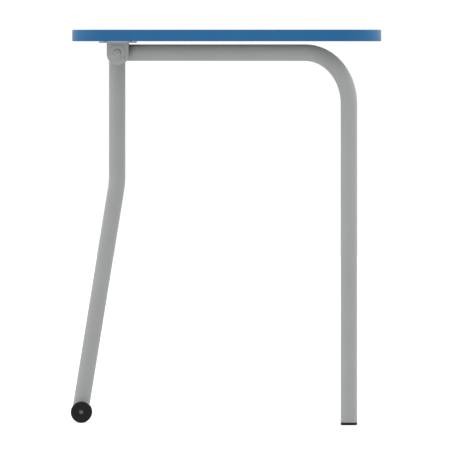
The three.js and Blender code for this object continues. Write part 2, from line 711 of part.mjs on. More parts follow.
function buildFrame() {
  const frame = new THREE.Group();
  place(frame, 'front_leg', frontLeg(), greyPaint());
  place(frame, 'cross_rail', crossRail(), greyPaint());

  const pivot = new THREE.Group();
  pivot.position.set(PIVOT_X, 0, PIVOT_Z);
  frame.add(pivot);
  const sleeve = ringInY(TUBE_RADIUS, TUBE_RADIUS - SLEEVE_WALL, -SLEEVE_HALF_LENGTH, SLEEVE_HALF_LENGTH);
  place(pivot, 'pivot_sleeve', sleeve, greyPaint());

  for (const { side, sign } of SIDES) {
    place(frame, `side_tube_${side}`, sideTube(sign), greyPaint());
    place(pivot, `stop_disc_${side}`, stopDisc(sign), greyPaint());
    const bush = ringInY(
      TUBE_RADIUS - SLEEVE_WALL - CLEARANCE, BOLT_RADIUS + CLEARANCE,
      sign * (SLEEVE_HALF_LENGTH - BUSH_LENGTH), sign * SLEEVE_HALF_LENGTH);
    place(pivot, `pivot_bush_${side}`, bush, paleNylon());
    const glide = place(frame, `rear_glide_${side}`, rearGlide(), blackPlastic());
    glide.position.set(REAR_LEG_X, sign * (REAR_LEG_X - PIVOT_X) * Math.tan(SPREAD_ANGLE), 0);
  }
  return frame;
}

function buildFlipTop() {
  const top = new THREE.Group();
  const coreLow = UNDERSIDE_Z + LAMINATE_THICKNESS + CLEARANCE;
  const coreHigh = DESK_HEIGHT - LAMINATE_THICKNESS - CLEARANCE;
  const insertHole = INSERT_RADIUS + CLEARANCE;
  place(top, 'top_edge_band', edgeBand(), blueEdge());
  place(top, 'top_laminate', topLayer(DESK_HEIGHT - LAMINATE_THICKNESS, DESK_HEIGHT, 0), blueLaminate());
  place(top, 'top_core', coreBoard(coreLow, coreHigh), chipboard());
  const backing = topLayer(UNDERSIDE_Z, UNDERSIDE_Z + LAMINATE_THICKNESS, insertHole);
  place(top, 'top_backing', backing, backingLaminate());
  place(top, 'bracket_plate', bracketPlate(), bracketPaint());

  plateScrewPlaces().forEach(({ x, y }, index) => {
    const screw = place(top, `plate_screw_${index + 1}`, plateScrew(), zincSteel());
    screw.position.set(x, y, PLATE_BOTTOM_Z);
    const sleeve = plateInZ(
      ringShape(INSERT_RADIUS, SCREW_RADIUS + CLEARANCE), 0, INSERT_LENGTH, SMALL_ARC);
    const insert = place(top, `plate_insert_${index + 1}`, sleeve, brass());
    insert.position.set(x, y, coreLow);
  });

  const pivot = new THREE.Group();
  pivot.position.set(PIVOT_X, 0, PIVOT_Z);
  top.add(pivot);
  place(pivot, 'pivot_bolt', pivotBolt(), zincSteel());
  for (const { side, sign } of SIDES) {
    place(pivot, `bracket_cheek_${side}`, cheek(sign), bracketPaint());
    place(pivot, `stop_pin_${side}`, stopPin(sign), bracketPaint());
    place(pivot, `pivot_washer_${side}`, pivotWasher(sign), bracketPaint());
    const slip = ringInY(
      FRICTION_WASHER_RADIUS, BOLT_RADIUS + CLEARANCE, sign * FRICTION_INNER_Y, sign * FRICTION_OUTER_Y);
    place(pivot, `friction_washer_${side}`, slip, paleNylon());
  }
  return top;
}

function buildClampKnob() {
  const clamp = new THREE.Group();
  clamp.position.set(PIVOT_X, 0, PIVOT_Z);
  place(clamp, 'clamp_knob', clampKnob(), blackPlastic());
  const insert = ringInY(
    KNOB_INSERT_RADIUS, BOLT_RADIUS + CLEARANCE, KNOB_INNER_Y, KNOB_OUTER_Y - KNOB_INSERT_RECESS,
    SMALL_ARC);
  place(clamp, 'clamp_insert', insert, brass());
  return clamp;
}

function buildWheels() {
  const wheels = new THREE.Group();
  wheels.position.set(AXLE_X, 0, AXLE_Z);
  place(wheels, 'wheel_carrier', wheelCarrier(), blackPlastic());
  place(wheels, 'wheel_axle', rodInY(AXLE_RADIUS, -AXLE_HALF_LENGTH, AXLE_HALF_LENGTH), drawnSteel());

  const spacerInner = CARRIER_HALF_WIDTH + CLEARANCE;
  const bushOuter = HUB_OUTER_Y - HUB_DISH_DEPTH;
  const retainerInner = bushOuter + CLEARANCE;
  const bore = AXLE_RADIUS + CLEARANCE;
  for (const { side, sign } of SIDES) {
    place(wheels, `wheel_hub_${side}`, faceSide(wheelHub(), sign), blackPlastic());
    place(wheels, `wheel_tyre_${side}`, faceSide(wheelTyre(), sign), blackRubber());
    const bush = ringInY(HUB_BUSH_RADIUS, bore, sign * HUB_INNER_Y, sign * bushOuter, SMALL_ARC);
    place(wheels, `wheel_bush_${side}`, bush, paleNylon());
    const spacer = ringInY(
      SPACER_RADIUS, bore, sign * spacerInner, sign * (spacerInner + SPACER_THICKNESS), SMALL_ARC);
    place(wheels, `wheel_spacer_${side}`, spacer, paleNylon());
    const retainer = ringInY(
      RETAINER_RADIUS, bore, sign * retainerInner, sign * (retainerInner + RETAINER_THICKNESS), SMALL_ARC);
    place(wheels, `axle_retainer_${side}`, retainer, blackPlastic());
  }
  return wheels;
}

const desk = new THREE.Group();
desk.add(buildFrame(), buildFlipTop(), buildClampKnob(), buildWheels());

export default desk;
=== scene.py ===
"""Looks of a three-legged student desk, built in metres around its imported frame.

The desk stands on +Z, its user sits at +X with the left hand at -Y. Each sub-assembly is a class
that holds its sizes, makes its meshes and dresses them; each finish is a small frozen dataclass.
"""

import json
import logging
import math
from dataclasses import dataclass, field
from enum import Enum
from typing import Callable, Dict, Iterable, List, Optional, Sequence, Tuple, Union

import bmesh
import bpy
from mathutils import Matrix, Vector


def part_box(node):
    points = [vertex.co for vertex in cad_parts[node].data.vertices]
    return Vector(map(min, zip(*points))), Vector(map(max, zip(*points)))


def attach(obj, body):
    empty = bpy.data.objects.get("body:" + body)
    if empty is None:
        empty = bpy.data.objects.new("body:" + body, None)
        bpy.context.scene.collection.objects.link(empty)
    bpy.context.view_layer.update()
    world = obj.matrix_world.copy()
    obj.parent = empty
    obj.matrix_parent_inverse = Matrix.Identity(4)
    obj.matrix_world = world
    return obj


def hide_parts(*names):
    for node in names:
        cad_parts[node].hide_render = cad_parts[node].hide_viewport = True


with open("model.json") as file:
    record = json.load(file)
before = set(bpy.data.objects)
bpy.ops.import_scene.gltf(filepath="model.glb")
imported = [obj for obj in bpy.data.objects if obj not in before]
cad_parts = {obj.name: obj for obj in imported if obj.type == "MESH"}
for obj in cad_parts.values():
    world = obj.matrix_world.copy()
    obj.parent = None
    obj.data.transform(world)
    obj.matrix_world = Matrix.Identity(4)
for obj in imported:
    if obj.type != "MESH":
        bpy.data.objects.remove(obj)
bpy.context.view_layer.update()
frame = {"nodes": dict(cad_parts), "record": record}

LOG = logging.getLogger("desk")
MM = 0.001
TURN = 2 * math.pi

Point2 = Tuple[float, float]
Radius = Union[float, Callable[[float], float]]
Color = Tuple[float, float, float]
Piece, Mesh = bpy.types.Object, bpy.types.Mesh
Node, Socket, Tree = bpy.types.Node, bpy.types.NodeSocket, bpy.types.NodeTree
Feed = Dict[Union[int, str], object]

ALONG_Y = Vector((0.0, 1.0, 0.0))
FLAT = Matrix.Identity(4)
WHITE = (1.0, 1.0, 1.0, 1.0)
# Small steps, and radii that ease edges, finest first.
FINE, EASE, SOFT, BLUNT, FULL = 0.2 * MM, 0.3 * MM, 0.4 * MM, 0.5 * MM, 0.8 * MM
GAP = 0.3 * MM
BOLT_BORE = 4.3 * MM
QUARTER = math.pi / 2
SCREWS = [f"plate_screw_{i}" for i in range(1, 5)]


class Body(Enum):
    """The moving bodies of the desk."""

    FRAME = "frame"
    FLIP_TOP = "flip_top"
    CLAMP = "clamp"
    WHEEL_LEFT = "wheel_left"
    WHEEL_RIGHT = "wheel_right"


class Side(Enum):
    """The user's two hands, with the sign of Y on each."""

    LEFT = -1
    RIGHT = 1

    @property
    def word(self) -> str:
        """The side's name as it stands in piece names."""
        return self.name.lower()

    @property
    def out(self) -> Vector:
        """The outward direction on this side."""
        return Vector((0.0, float(self.value), 0.0))

    def faces(self, node: str) -> Tuple[float, float]:
        """The Y of a node's two faces on this side, the one nearer the middle first."""
        low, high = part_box(node)
        return (high.y, low.y) if self is Side.LEFT else (low.y, high.y)


# ------------------------------------------------------------------ outlines


def arc(centre: Point2, radius: float, start: float, end: float, steps: int) -> List[Point2]:
    """Points on a round arc.

    Args:
        centre: the arc's centre.
        radius: its radius.
        start: the first point's angle, in radians.
        end: the last point's angle.
        steps: how many chords the arc has.

    Returns:
        The points, both ends included.
    """
    angles = [start + (end - start) * i / steps for i in range(steps + 1)]
    return [(centre[0] + radius * math.cos(a), centre[1] + radius * math.sin(a)) for a in angles]


def circle(centre: Point2, radius: float, steps: int = 48) -> List[Point2]:
    """A full circle's points, without a doubled one."""
    return arc(centre, radius, 0.0, TURN, steps)[:-1]


def rounded(corners: Sequence[Tuple[float, float, float]], steps: int = 4,
            closed: bool = True) -> List[Point2]:
    """A run of straight lines with its corners rounded.

    Args:
        corners: (x, y, radius) of each corner in order.
        steps: chords in each rounding.
        closed: whether the last corner joins the first.

    Returns:
        The points of the rounded line.
    """
    points: List[Point2] = []
    count = len(corners)
    for i, (x, y, radius) in enumerate(corners):
        at_end = not closed and i in (0, count - 1)
        here = Vector((x, y))
        back = Vector(corners[i - 1][:2]) - here
        ahead = Vector(corners[(i + 1) % count][:2]) - here
        if at_end or radius <= 0 or back.length < 1e-9 or ahead.length < 1e-9:
            points.append((x, y))
            continue
        half = back.angle(ahead) / 2
        reach = min(radius / math.tan(half), 0.49 * back.length, 0.49 * ahead.length)
        fitted = reach * math.tan(half)
        hub = here + (back.normalized() + ahead.normalized()).normalized() * fitted / math.sin(half)
        first = here + back.normalized() * reach - hub
        last = here + ahead.normalized() * reach - hub
        start = math.atan2(first.y, first.x)
        sweep = (math.atan2(last.y, last.x) - start + math.pi) % TURN - math.pi
        points.extend(arc((hub.x, hub.y), fitted, start, start + sweep, steps))
    return points


def hexagon(across_flats: float) -> Callable[[float], float]:
    """The radius of a hexagon's outline as a function of angle.

    Args:
        across_flats: the hexagon's width between two opposite sides.

    Returns:
        The function of angle.
    """
    sixth = TURN / 6

    def radius(angle: float) -> float:
        return across_flats / 2 / math.cos(angle % sixth - sixth / 2)

    return radius


# ------------------------------------------------------------------ meshes


def upright(at: Vector) -> Matrix:
    """A place for a flat outline that stands in X and Z at Y = 0: its third direction points to -Y."""
    turn = Matrix(((1, 0, 0, 0), (0, 0, -1, 0), (0, 1, 0, 0), (0, 0, 0, 1)))
    return Matrix.Translation((at.x, 0.0, at.z)) @ turn


def facing(centre: Vector, direction: Vector) -> Matrix:
    """A place whose third direction points along the given one."""
    return Matrix.Translation(centre) @ direction.to_track_quat("Z", "Y").to_matrix().to_4x4()


def on_axis(at: Vector, y: float = 0.0, way: Vector = ALONG_Y) -> Matrix:
    """A place at a given Y on the line along Y through a point."""
    return facing(Vector((at.x, y, at.z)), way)


def middle(node: str) -> Vector:
    """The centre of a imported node's box."""
    low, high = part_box(node)
    return (low + high) / 2


def half_width(node: str) -> float:
    """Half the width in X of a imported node's box."""
    low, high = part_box(node)
    return (high.x - low.x) / 2


def over(node: str, z: float) -> Matrix:
    """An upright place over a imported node's centre, at a given height."""
    return Matrix.Translation((middle(node).x, middle(node).y, z))


def pivot() -> Vector:
    """The pivot's centre."""
    return middle("pivot_sleeve")


def skin(rows: Sequence[Sequence[int]], ring: bool = True) -> List[List[int]]:
    """Faces between closed rows of vertices.

    Args:
        rows: the vertices' numbers, row by row; a pole repeats its one number.
        ring: whether the last row joins the first.

    Returns:
        The faces.
    """
    faces = []
    for low, high in list(zip(rows, rows[1:])) + ([(rows[-1], rows[0])] if ring else []):
        for k in range(len(low)):
            n = (k + 1) % len(low)
            faces.append(list(dict.fromkeys([low[k], low[n], high[n], high[k]])))
    return [face for face in faces if len(face) > 2]


def finish_mesh(mesh: Mesh, sharp_above: float = 32.0) -> None:
    """Merges doubles, turns the faces outward, shades smooth and keeps crisp edges sharp.

    Args:
        mesh: the mesh to finish.
        sharp_above: the fold, in degrees, from which an edge is drawn sharp.
    """
    work = bmesh.new()
    work.from_mesh(mesh)
    bmesh.ops.remove_doubles(work, verts=work.verts, dist=1e-6)
    bmesh.ops.dissolve_degenerate(work, edges=work.edges, dist=1e-7)
    bmesh.ops.recalc_face_normals(work, faces=work.faces)
    for face in work.faces:
        face.smooth = True
    for edge in work.edges:
        edge.smooth = len(edge.link_faces) == 2 and edge.calc_face_angle(0.0) < math.radians(sharp_above)
    work.to_mesh(mesh)
    work.free()


def link_mesh(name: str, mesh: Mesh) -> Piece:
    """An object at the origin for a finished mesh.

    Args:
        name: the object's name.
        mesh: its mesh.

    Returns:
        The object.
    """
    mesh.name = name
    piece = bpy.data.objects.new(name, mesh)
    bpy.context.scene.collection.objects.link(piece)
    return piece


def mesh_from(name: str, vertices: Iterable[Vector], faces: Iterable[Sequence[int]]) -> Piece:
    """A finished object from vertices and faces.

    Args:
        name: the piece's name.
        vertices: its points.
        faces: the numbers of each face's points.

    Returns:
        The object.
    """
    mesh = bpy.data.meshes.new(name)
    mesh.from_pydata([tuple(v) for v in vertices], [], [tuple(f) for f in faces])
    finish_mesh(mesh)
    return link_mesh(name, mesh)


def bake(source: Piece, name: str) -> Piece:
    """Replaces an object with the plain mesh that its curve data or modifiers make.

    Args:
        source: the object to evaluate; it is removed.
        name: the finished piece's name.

    Returns:
        The plain piece at the origin, with no modifier.
    """
    bpy.context.view_layer.update()
    graph = bpy.context.evaluated_depsgraph_get()
    mesh = bpy.data.meshes.new_from_object(source.evaluated_get(graph), depsgraph=graph)
    bpy.data.objects.remove(source)
    return link_mesh(name, mesh)


def turned(name: str, profile: Sequence[Tuple[Radius, float]], place: Matrix, segments: int = 72,
           ring: bool = False) -> Piece:
    """A shape turned about the place's third direction.

    Args:
        name: the piece's name.
        profile: (radius, height) down the outside; a radius may depend on the angle.
        place: where the shape stands.
        segments: facets round the shape.
        ring: whether the last profile point joins the first, as on a washer.

    Returns:
        The piece.
    """
    vertices: List[Vector] = []
    rows: List[List[int]] = []
    for radius, height in profile:
        if not callable(radius) and radius < 1e-7:
            rows.append([len(vertices)] * segments)
            vertices.append(place @ Vector((0, 0, height)))
            continue
        rows.append(list(range(len(vertices), len(vertices) + segments)))
        for k in range(segments):
            angle = TURN * k / segments
            reach = radius(angle) if callable(radius) else radius
            vertices.append(place @ Vector((reach * math.cos(angle), reach * math.sin(angle), height)))
    return mesh_from(name, vertices, skin(rows, ring))


def loft(name: str, rings: Sequence[Sequence[Vector]]) -> Piece:
    """A closed shape through rings of points, the last joined to the first.

    Args:
        name: the piece's name.
        rings: the rings, each with as many points.

    Returns:
        The piece.
    """
    count = len(rings[0])
    rows = [range(i * count, (i + 1) * count) for i in range(len(rings))]
    return mesh_from(name, [point for ring in rings for point in ring], skin(rows))


def collar(outer: float, inner: float, low: float, high: float, edge: float) -> List[Point2]:
    """The closed profile of a washer or bush with eased edges."""
    return rounded([(inner, low, edge), (outer, low, edge), (outer, high, edge), (inner, high, edge)])


def plate(name: str, outline: Sequence[Point2], holes: Sequence[Sequence[Point2]], low: float, high: float,
          edge: float, place: Matrix = FLAT) -> Piece:
    """A flat piece cut from sheet, with holes and eased edges.

    Args:
        name: the piece's name.
        outline: its outer line.
        holes: the holes' lines.
        low: the lower face's height in the place's third direction.
        high: the upper face's height.
        edge: the radius that eases its edges.
        place: where the outline lies.

    Returns:
        The piece.
    """
    curve = bpy.data.curves.new(name, "CURVE")
    curve.dimensions = "2D"
    curve.fill_mode = "BOTH"
    curve.extrude = (high - low) / 2 - edge
    curve.bevel_depth = edge
    curve.bevel_resolution = 2
    curve.offset = -edge
    for line in [outline, *holes]:
        spline = curve.splines.new("POLY")
        spline.points.add(len(line) - 1)
        for point, (x, y) in zip(spline.points, line):
            point.co = (x, y, 0.0, 1.0)
        spline.use_cyclic_u = True
    source = bpy.data.objects.new(name, curve)
    bpy.context.scene.collection.objects.link(source)
    piece = bake(source, name)
    piece.data.transform(place @ Matrix.Translation((0, 0, (low + high) / 2)))
    finish_mesh(piece.data)
    return piece


def merged(name: str, base: Piece, others: Sequence[Piece],
           take: bool = False) -> Piece:
    """Several closed shapes as one, or one with the others taken out of it.

    Args:
        name: the finished piece's name.
        base: the shape to start from.
        others: the shapes to join or take away; they are removed.
        take: whether the others are taken away.

    Returns:
        The piece.
    """
    for other in others:
        joint = base.modifiers.new("shape", "BOOLEAN")
        joint.operation = "DIFFERENCE" if take else "UNION"
        joint.solver = "EXACT"
        joint.object = other
    piece = bake(base, name)
    for other in others:
        bpy.data.objects.remove(other)
    finish_mesh(piece.data)
    return piece


# ------------------------------------------------------------------ tubes


@dataclass(frozen=True)
class Station:
    """One place on a tube's centre line, and the way the line runs there."""

    point: Vector
    way: Vector


@dataclass(frozen=True)
class RoundCutter:
    """A round bar that a tube's end is shaped to fit against."""

    centre: Vector
    axis: Vector
    radius: float

    def leave(self, origin: Vector, way: Vector) -> float:
        """How far a line runs before it is out of the bar, or to its nearest point if it misses.

        Args:
            origin: where the line starts.
            way: the way in which it runs.

        Returns:
            The distance along the line.
        """
        across = way - self.axis * way.dot(self.axis)
        offset = origin - self.centre
        offset = offset - self.axis * offset.dot(self.axis)
        a, b = across.length_squared, across.dot(offset)
        inside = max(0.0, b * b - a * (offset.length_squared - self.radius ** 2))
        return (-b + math.sqrt(inside)) / a


@dataclass(frozen=True)
class FlatCutter:
    """A mitre plane: the tube is kept on the side that the normal points to."""

    centre: Vector
    normal: Vector

    def leave(self, origin: Vector, way: Vector) -> float:
        """How far a line runs before it is past the plane."""
        return (self.centre - origin).dot(self.normal) / way.dot(self.normal)


Cutter = Union[RoundCutter, FlatCutter]


def bent_line(start: Vector, corner: Vector, end: Vector, radius: float, steps: int = 28) -> List[Station]:
    """The centre line of a tube with one bend.

    Args:
        start: where the tube starts.
        corner: where its two straight stretches would meet.
        end: where it ends.
        radius: the bend's centre line radius.
        steps: chords in the bend.

    Returns:
        The stations along the line.
    """
    first = (corner - start).normalized()
    last = (end - corner).normalized()
    turn = first.angle(last)
    inward = (last - first * last.dot(first)).normalized()
    begin = corner - first * radius * math.tan(turn / 2)
    stations = [Station(start, first)]
    for i in range(steps + 1):
        angle = turn * i / steps
        point = begin + first * radius * math.sin(angle) + inward * radius * (1 - math.cos(angle))
        stations.append(Station(point, first * math.cos(angle) + inward * math.sin(angle)))
    stations.append(Station(end, last))
    return stations


@dataclass
class Tube:
    """A round tube along a planar line, with its ends coped to what it meets."""

    name: str
    stations: List[Station]
    radius: float
    wall: float
    start_cutters: Sequence[Cutter] = ()
    end_cutters: Sequence[Cutter] = ()
    segments: int = 64
    lip: float = 0.4 * MM

    def across(self) -> Vector:
        """The direction square to the plane that the tube lies in.

        Returns:
            The unit direction.
        """
        first, last = self.stations[0].way, self.stations[-1].way
        normal = first.cross(last)
        if normal.length < 1e-6:
            normal = first.cross(Vector((0, 0, 1)))
        return normal.normalized()

    def spoke(self, station: Station, k: int) -> Vector:
        """The unit direction from the centre line to the k-th line of the wall.

        Args:
            station: the place on the centre line.
            k: the line's number round the wall.

        Returns:
            The direction.
        """
        side = self.across()
        angle = TURN * k / self.segments
        return side * math.cos(angle) + station.way.cross(side) * math.sin(angle)

    def ring(self, station: Station, radius: float, shift: float = 0.0) -> List[Vector]:
        """A flat ring of wall points at a station, moved along the tube by a shift."""
        centre = station.point + station.way * shift
        return [centre + self.spoke(station, k) * radius for k in range(self.segments)]

    def coped(self, station: Station, radius: float, cutters: Sequence[Cutter], sense: float) -> List[Vector]:
        """A ring whose points lie on the surfaces that the tube's end is shaped to.

        Args:
            station: the place on the centre line.
            radius: the wall's radius there.
            cutters: the surfaces that the end is shaped to.
            sense: 1 at the tube's start, -1 at its end.

        Returns:
            The ring's points.
        """
        way = station.way * sense
        points = []
        for k in range(self.segments):
            origin = station.point + self.spoke(station, k) * radius
            points.append(origin + way * max(c.leave(origin, way) for c in cutters))
        return points

    def end_rings(self, outer: bool, at_start: bool) -> List[List[Vector]]:
        """The rings that finish one end of the outer or inner wall, from the end inwards.

        Args:
            outer: whether the outer wall is meant.
            at_start: whether the tube's start is meant.

        Returns:
            The rings.
        """
        station = self.stations[0] if at_start else self.stations[-1]
        cutters = self.start_cutters if at_start else self.end_cutters
        radius = self.radius if outer else self.radius - self.wall
        sense = 1.0 if at_start else -1.0
        if cutters:
            return [self.coped(station, radius, cutters, sense)]
        eased = radius - self.lip if outer else radius + self.lip
        return [self.ring(station, eased), self.ring(station, radius, sense * self.lip)]

    def wall_rings(self, outer: bool) -> List[List[Vector]]:
        """All rings of the outer or inner wall, from the start to the end of the tube.

        Args:
            outer: whether the outer wall is meant.

        Returns:
            The rings.
        """
        radius = self.radius if outer else self.radius - self.wall
        between = [self.ring(s, radius) for s in self.stations[1:-1]]
        return self.end_rings(outer, True) + between + self.end_rings(outer, False)[::-1]

    def build(self) -> Piece:
        """The tube as a closed mesh with a real bore."""
        return loft(self.name, self.wall_rings(True) + self.wall_rings(False)[::-1])

    def seam(self, cutters: Sequence[Cutter], at_start: bool = True, stand_off: float = 0.0) -> List[Vector]:
        """The closed line along which an end meets its neighbours, for a weld to follow."""
        station = self.stations[0] if at_start else self.stations[-1]
        return self.coped(station, self.radius + stand_off, cutters, 1.0 if at_start else -1.0)


# ------------------------------------------------------------------ geometry nodes


class Graph:
    """Adds nodes to a node tree and joins them."""

    def __init__(self, tree: Tree) -> None:
        """Keeps the tree that is being built."""
        self.tree = tree

    def feed(self, node: Node, values: Feed) -> Node:
        """Sets a node's inputs, each to a value or to another node's output.

        Args:
            node: the node to feed.
            values: a value or another node's output for each input.

        Returns:
            The node.
        """
        for key, value in values.items():
            if isinstance(value, Socket):
                self.tree.links.new(value, node.inputs[key])
            else:
                node.inputs[key].default_value = value
        return node

    def add(self, kind: str, values: Optional[Feed] = None,
            **settings: object) -> Node:
        """One node.

        Args:
            kind: the node's type.
            values: what its inputs are fed.
            settings: the node's own settings.

        Returns:
            The node.
        """
        node = self.tree.nodes.new(kind)
        for key, value in settings.items():
            setattr(node, key, value)
        return self.feed(node, values or {})

    def math(self, operation: str, first: object, second: object = 0.0) -> Socket:
        """The result of a sum on two numbers or sockets."""
        return self.add("ShaderNodeMath", {0: first, 1: second}, operation=operation).outputs[0]

    def noise(self, size: Socket, detail: float) -> Socket:
        """Noise over the piece, in patches of about the given size.

        Args:
            size: the patches' size.
            detail: how many finer layers it has.

        Returns:
            The noise, from 0 to 1.
        """
        place = self.add("ShaderNodeTexCoord").outputs["Object"]
        scale = self.math("DIVIDE", 1.0, size)
        spread = {"Vector": place, "Scale": scale, "Detail": detail}
        return self.add("ShaderNodeTexNoise", spread).outputs["Fac"]

    def mix(self, share: object, first: object, second: object, colors: bool = False) -> Socket:
        """Two numbers or two colours, blended by a share."""
        a, b, out, kind = (6, 7, 2, "RGBA") if colors else (2, 3, 0, "FLOAT")
        return self.add("ShaderNodeMix", {0: share, a: first, b: second}, data_type=kind).outputs[out]

    def remap(self, value: object, low: float, high: float, smooth: bool = False) -> Socket:
        """A number spread from its own range to 0 to 1.

        Args:
            value: the number.
            low: what becomes 0.
            high: what becomes 1.
            smooth: whether both ends are eased.

        Returns:
            The spread number.
        """
        kind = "SMOOTHSTEP" if smooth else "LINEAR"
        limits = {"Value": value, "From Min": low, "From Max": high}
        return self.add("ShaderNodeMapRange", limits, interpolation_type=kind).outputs[0]


SocketPlan = Sequence[Tuple[str, str, object]]


def new_tree(name: str, kind: str, inputs: SocketPlan,
             outputs: SocketPlan) -> Tuple[Graph, Node, Node]:
    """An empty node group with named inputs and outputs.

    Args:
        name: the group's name.
        kind: its tree type.
        inputs: (name, socket kind, first value) of each input; None keeps the kind's own.
        outputs: the same for the outputs.

    Returns:
        The graph, its group input node and its group output node.
    """
    tree = bpy.data.node_groups.new(name, kind)
    for in_out, plan in (("INPUT", inputs), ("OUTPUT", outputs)):
        for label, socket_kind, value in plan:
            socket = tree.interface.new_socket(label, in_out=in_out, socket_type=f"NodeSocket{socket_kind}")
            if value is not None:
                socket.default_value = value
    graph = Graph(tree)
    return graph, graph.add("NodeGroupInput"), graph.add("NodeGroupOutput")


def blank_graph(owner: Union[bpy.types.Material, bpy.types.World]) -> Graph:
    """The emptied shader tree of a material or a world.

    Args:
        owner: the material or world.

    Returns:
        Its graph.
    """
    owner.use_nodes = True
    owner.node_tree.nodes.clear()
    return Graph(owner.node_tree)


def run_nodes(piece: Piece, tree: Tree, values: Dict[str, object],
              name: str) -> Piece:
    """Runs a geometry node tree on a piece and keeps the plain mesh that it makes.

    Args:
        piece: the object that the tree reads; it is removed.
        tree: the geometry node tree.
        values: the tree's inputs by name.
        name: the finished piece's name.

    Returns:
        The plain piece.
    """
    modifier = piece.modifiers.new("nodes", "NODES")
    modifier.node_group = tree
    identifiers = {s.name: s.identifier for s in tree.interface.items_tree if s.in_out == "INPUT"}
    for label, value in values.items():
        modifier[identifiers[label]] = value
    made = bake(piece, name)
    finish_mesh(made.data, 50.0)
    return made


GEOMETRY: Tuple[str, str, object] = ("Geometry", "Geometry", None)
MATERIAL: Tuple[str, str, object] = ("Material", "Material", None)


def close_tree(graph: Graph, given: Node, result: Node,
               geometry: Socket) -> Tree:
    """Ends a geometry tree: real meshes, in the material that was given.

    Args:
        graph: the graph that is being built.
        given: the tree's input node.
        result: its output node.
        geometry: the geometry to end with.

    Returns:
        The finished tree.
    """
    real = graph.add("GeometryNodeRealizeInstances", {"Geometry": geometry}).outputs[0]
    dressed = {"Geometry": real, "Material": given.outputs["Material"]}
    graph.feed(result, {"Geometry": graph.add("GeometryNodeSetMaterial", dressed).outputs[0]})
    return graph.tree


def weld_bead_tree() -> Tree:
    """A rippled bead of weld along a line of edges.

    Returns:
        The tree.
    """
    sizes = [
        ("Bead Radius", "Float", 1.8 * MM), ("Ripple Length", "Float", 1.6 * MM),
        ("Ripple Depth", "Float", 0.16), ("Step", "Float", 0.4 * MM), ("Seed", "Int", 7),
    ]
    graph, given, result = new_tree("Weld bead", "GeometryNodeTree", [GEOMETRY, *sizes, MATERIAL], [GEOMETRY])
    of = given.outputs
    line = graph.add("GeometryNodeMeshToCurve", {"Mesh": of["Geometry"]}).outputs["Curve"]
    even = graph.add("GeometryNodeResampleCurve", {"Curve": line, "Length": of["Step"]}, mode="LENGTH")
    run = graph.add("GeometryNodeSplineParameter").outputs["Length"]
    wave = graph.math("SINE", graph.math("MULTIPLY", graph.math("DIVIDE", run, of["Ripple Length"]), TURN))
    spread = {"Min": -0.35, "Max": 0.35, "Seed": of["Seed"]}
    uneven = graph.add("FunctionNodeRandomValue", spread, data_type="FLOAT").outputs[1]
    relief = graph.math("MULTIPLY", graph.math("ADD", wave, uneven), of["Ripple Depth"])
    swell = graph.math("MULTIPLY", graph.math("ADD", relief, 1.0), of["Bead Radius"])
    shaped = graph.add("GeometryNodeSetCurveRadius", {"Curve": even.outputs["Curve"], "Radius": swell})
    section = graph.add("GeometryNodeCurvePrimitiveCircle", {"Resolution": 10, "Radius": 1.0})
    bead = graph.add("GeometryNodeCurveToMesh", {
        "Curve": shaped.outputs["Curve"], "Profile Curve": section.outputs["Curve"],
        "Scale": graph.add("GeometryNodeInputRadius").outputs[0], "Fill Caps": True,
    })
    return close_tree(graph, given, result, bead.outputs["Mesh"])


def copies_tree() -> Tree:
    """Copies of a part on points, each turned by its point's own angles.

    Returns:
        The tree.
    """
    inputs = [GEOMETRY, ("Part", "Object", None), ("Size", "Float", 1.0), MATERIAL]
    graph, given, result = new_tree("Copies on points", "GeometryNodeTree", inputs, [GEOMETRY])
    of = given.outputs
    part = graph.add("GeometryNodeObjectInfo", {"Object": of["Part"]}, transform_space="ORIGINAL")
    turn = graph.add("GeometryNodeInputNamedAttribute", {"Name": "turn"}, data_type="FLOAT_VECTOR")
    size = graph.add("ShaderNodeCombineXYZ", {axis: of["Size"] for axis in "XYZ"})
    copies = graph.add("GeometryNodeInstanceOnPoints", {
        "Points": of["Geometry"], "Instance": part.outputs["Geometry"],
        "Rotation": turn.outputs[0], "Scale": size.outputs[0],
    })
    return close_tree(graph, given, result, copies.outputs["Instances"])


def line_object(name: str, points: Sequence[Vector], closed: bool = True) -> Piece:
    """A run of edges for a node tree to follow.

    Args:
        name: the object's name.
        points: the line's points.
        closed: whether the last point joins the first.

    Returns:
        The object.
    """
    mesh = bpy.data.meshes.new(name)
    last = len(points) if closed else len(points) - 1
    edges = [(i, (i + 1) % len(points)) for i in range(last)]
    mesh.from_pydata([tuple(p) for p in points], edges, [])
    return link_mesh(name, mesh)


def points_object(name: str, places: Sequence[Tuple[Vector, Vector]]) -> Piece:
    """Loose points for copies, each with its own angles.

    Args:
        name: the object's name.
        places: (position, Euler angles) of each point.

    Returns:
        The object.
    """
    mesh = bpy.data.meshes.new(name)
    mesh.from_pydata([tuple(p) for p, _ in places], [], [])
    turn = mesh.attributes.new("turn", "FLOAT_VECTOR", "POINT")
    turn.data.foreach_set("vector", [x for _, angles in places for x in angles])
    return link_mesh(name, mesh)


# ------------------------------------------------------------------ shader groups


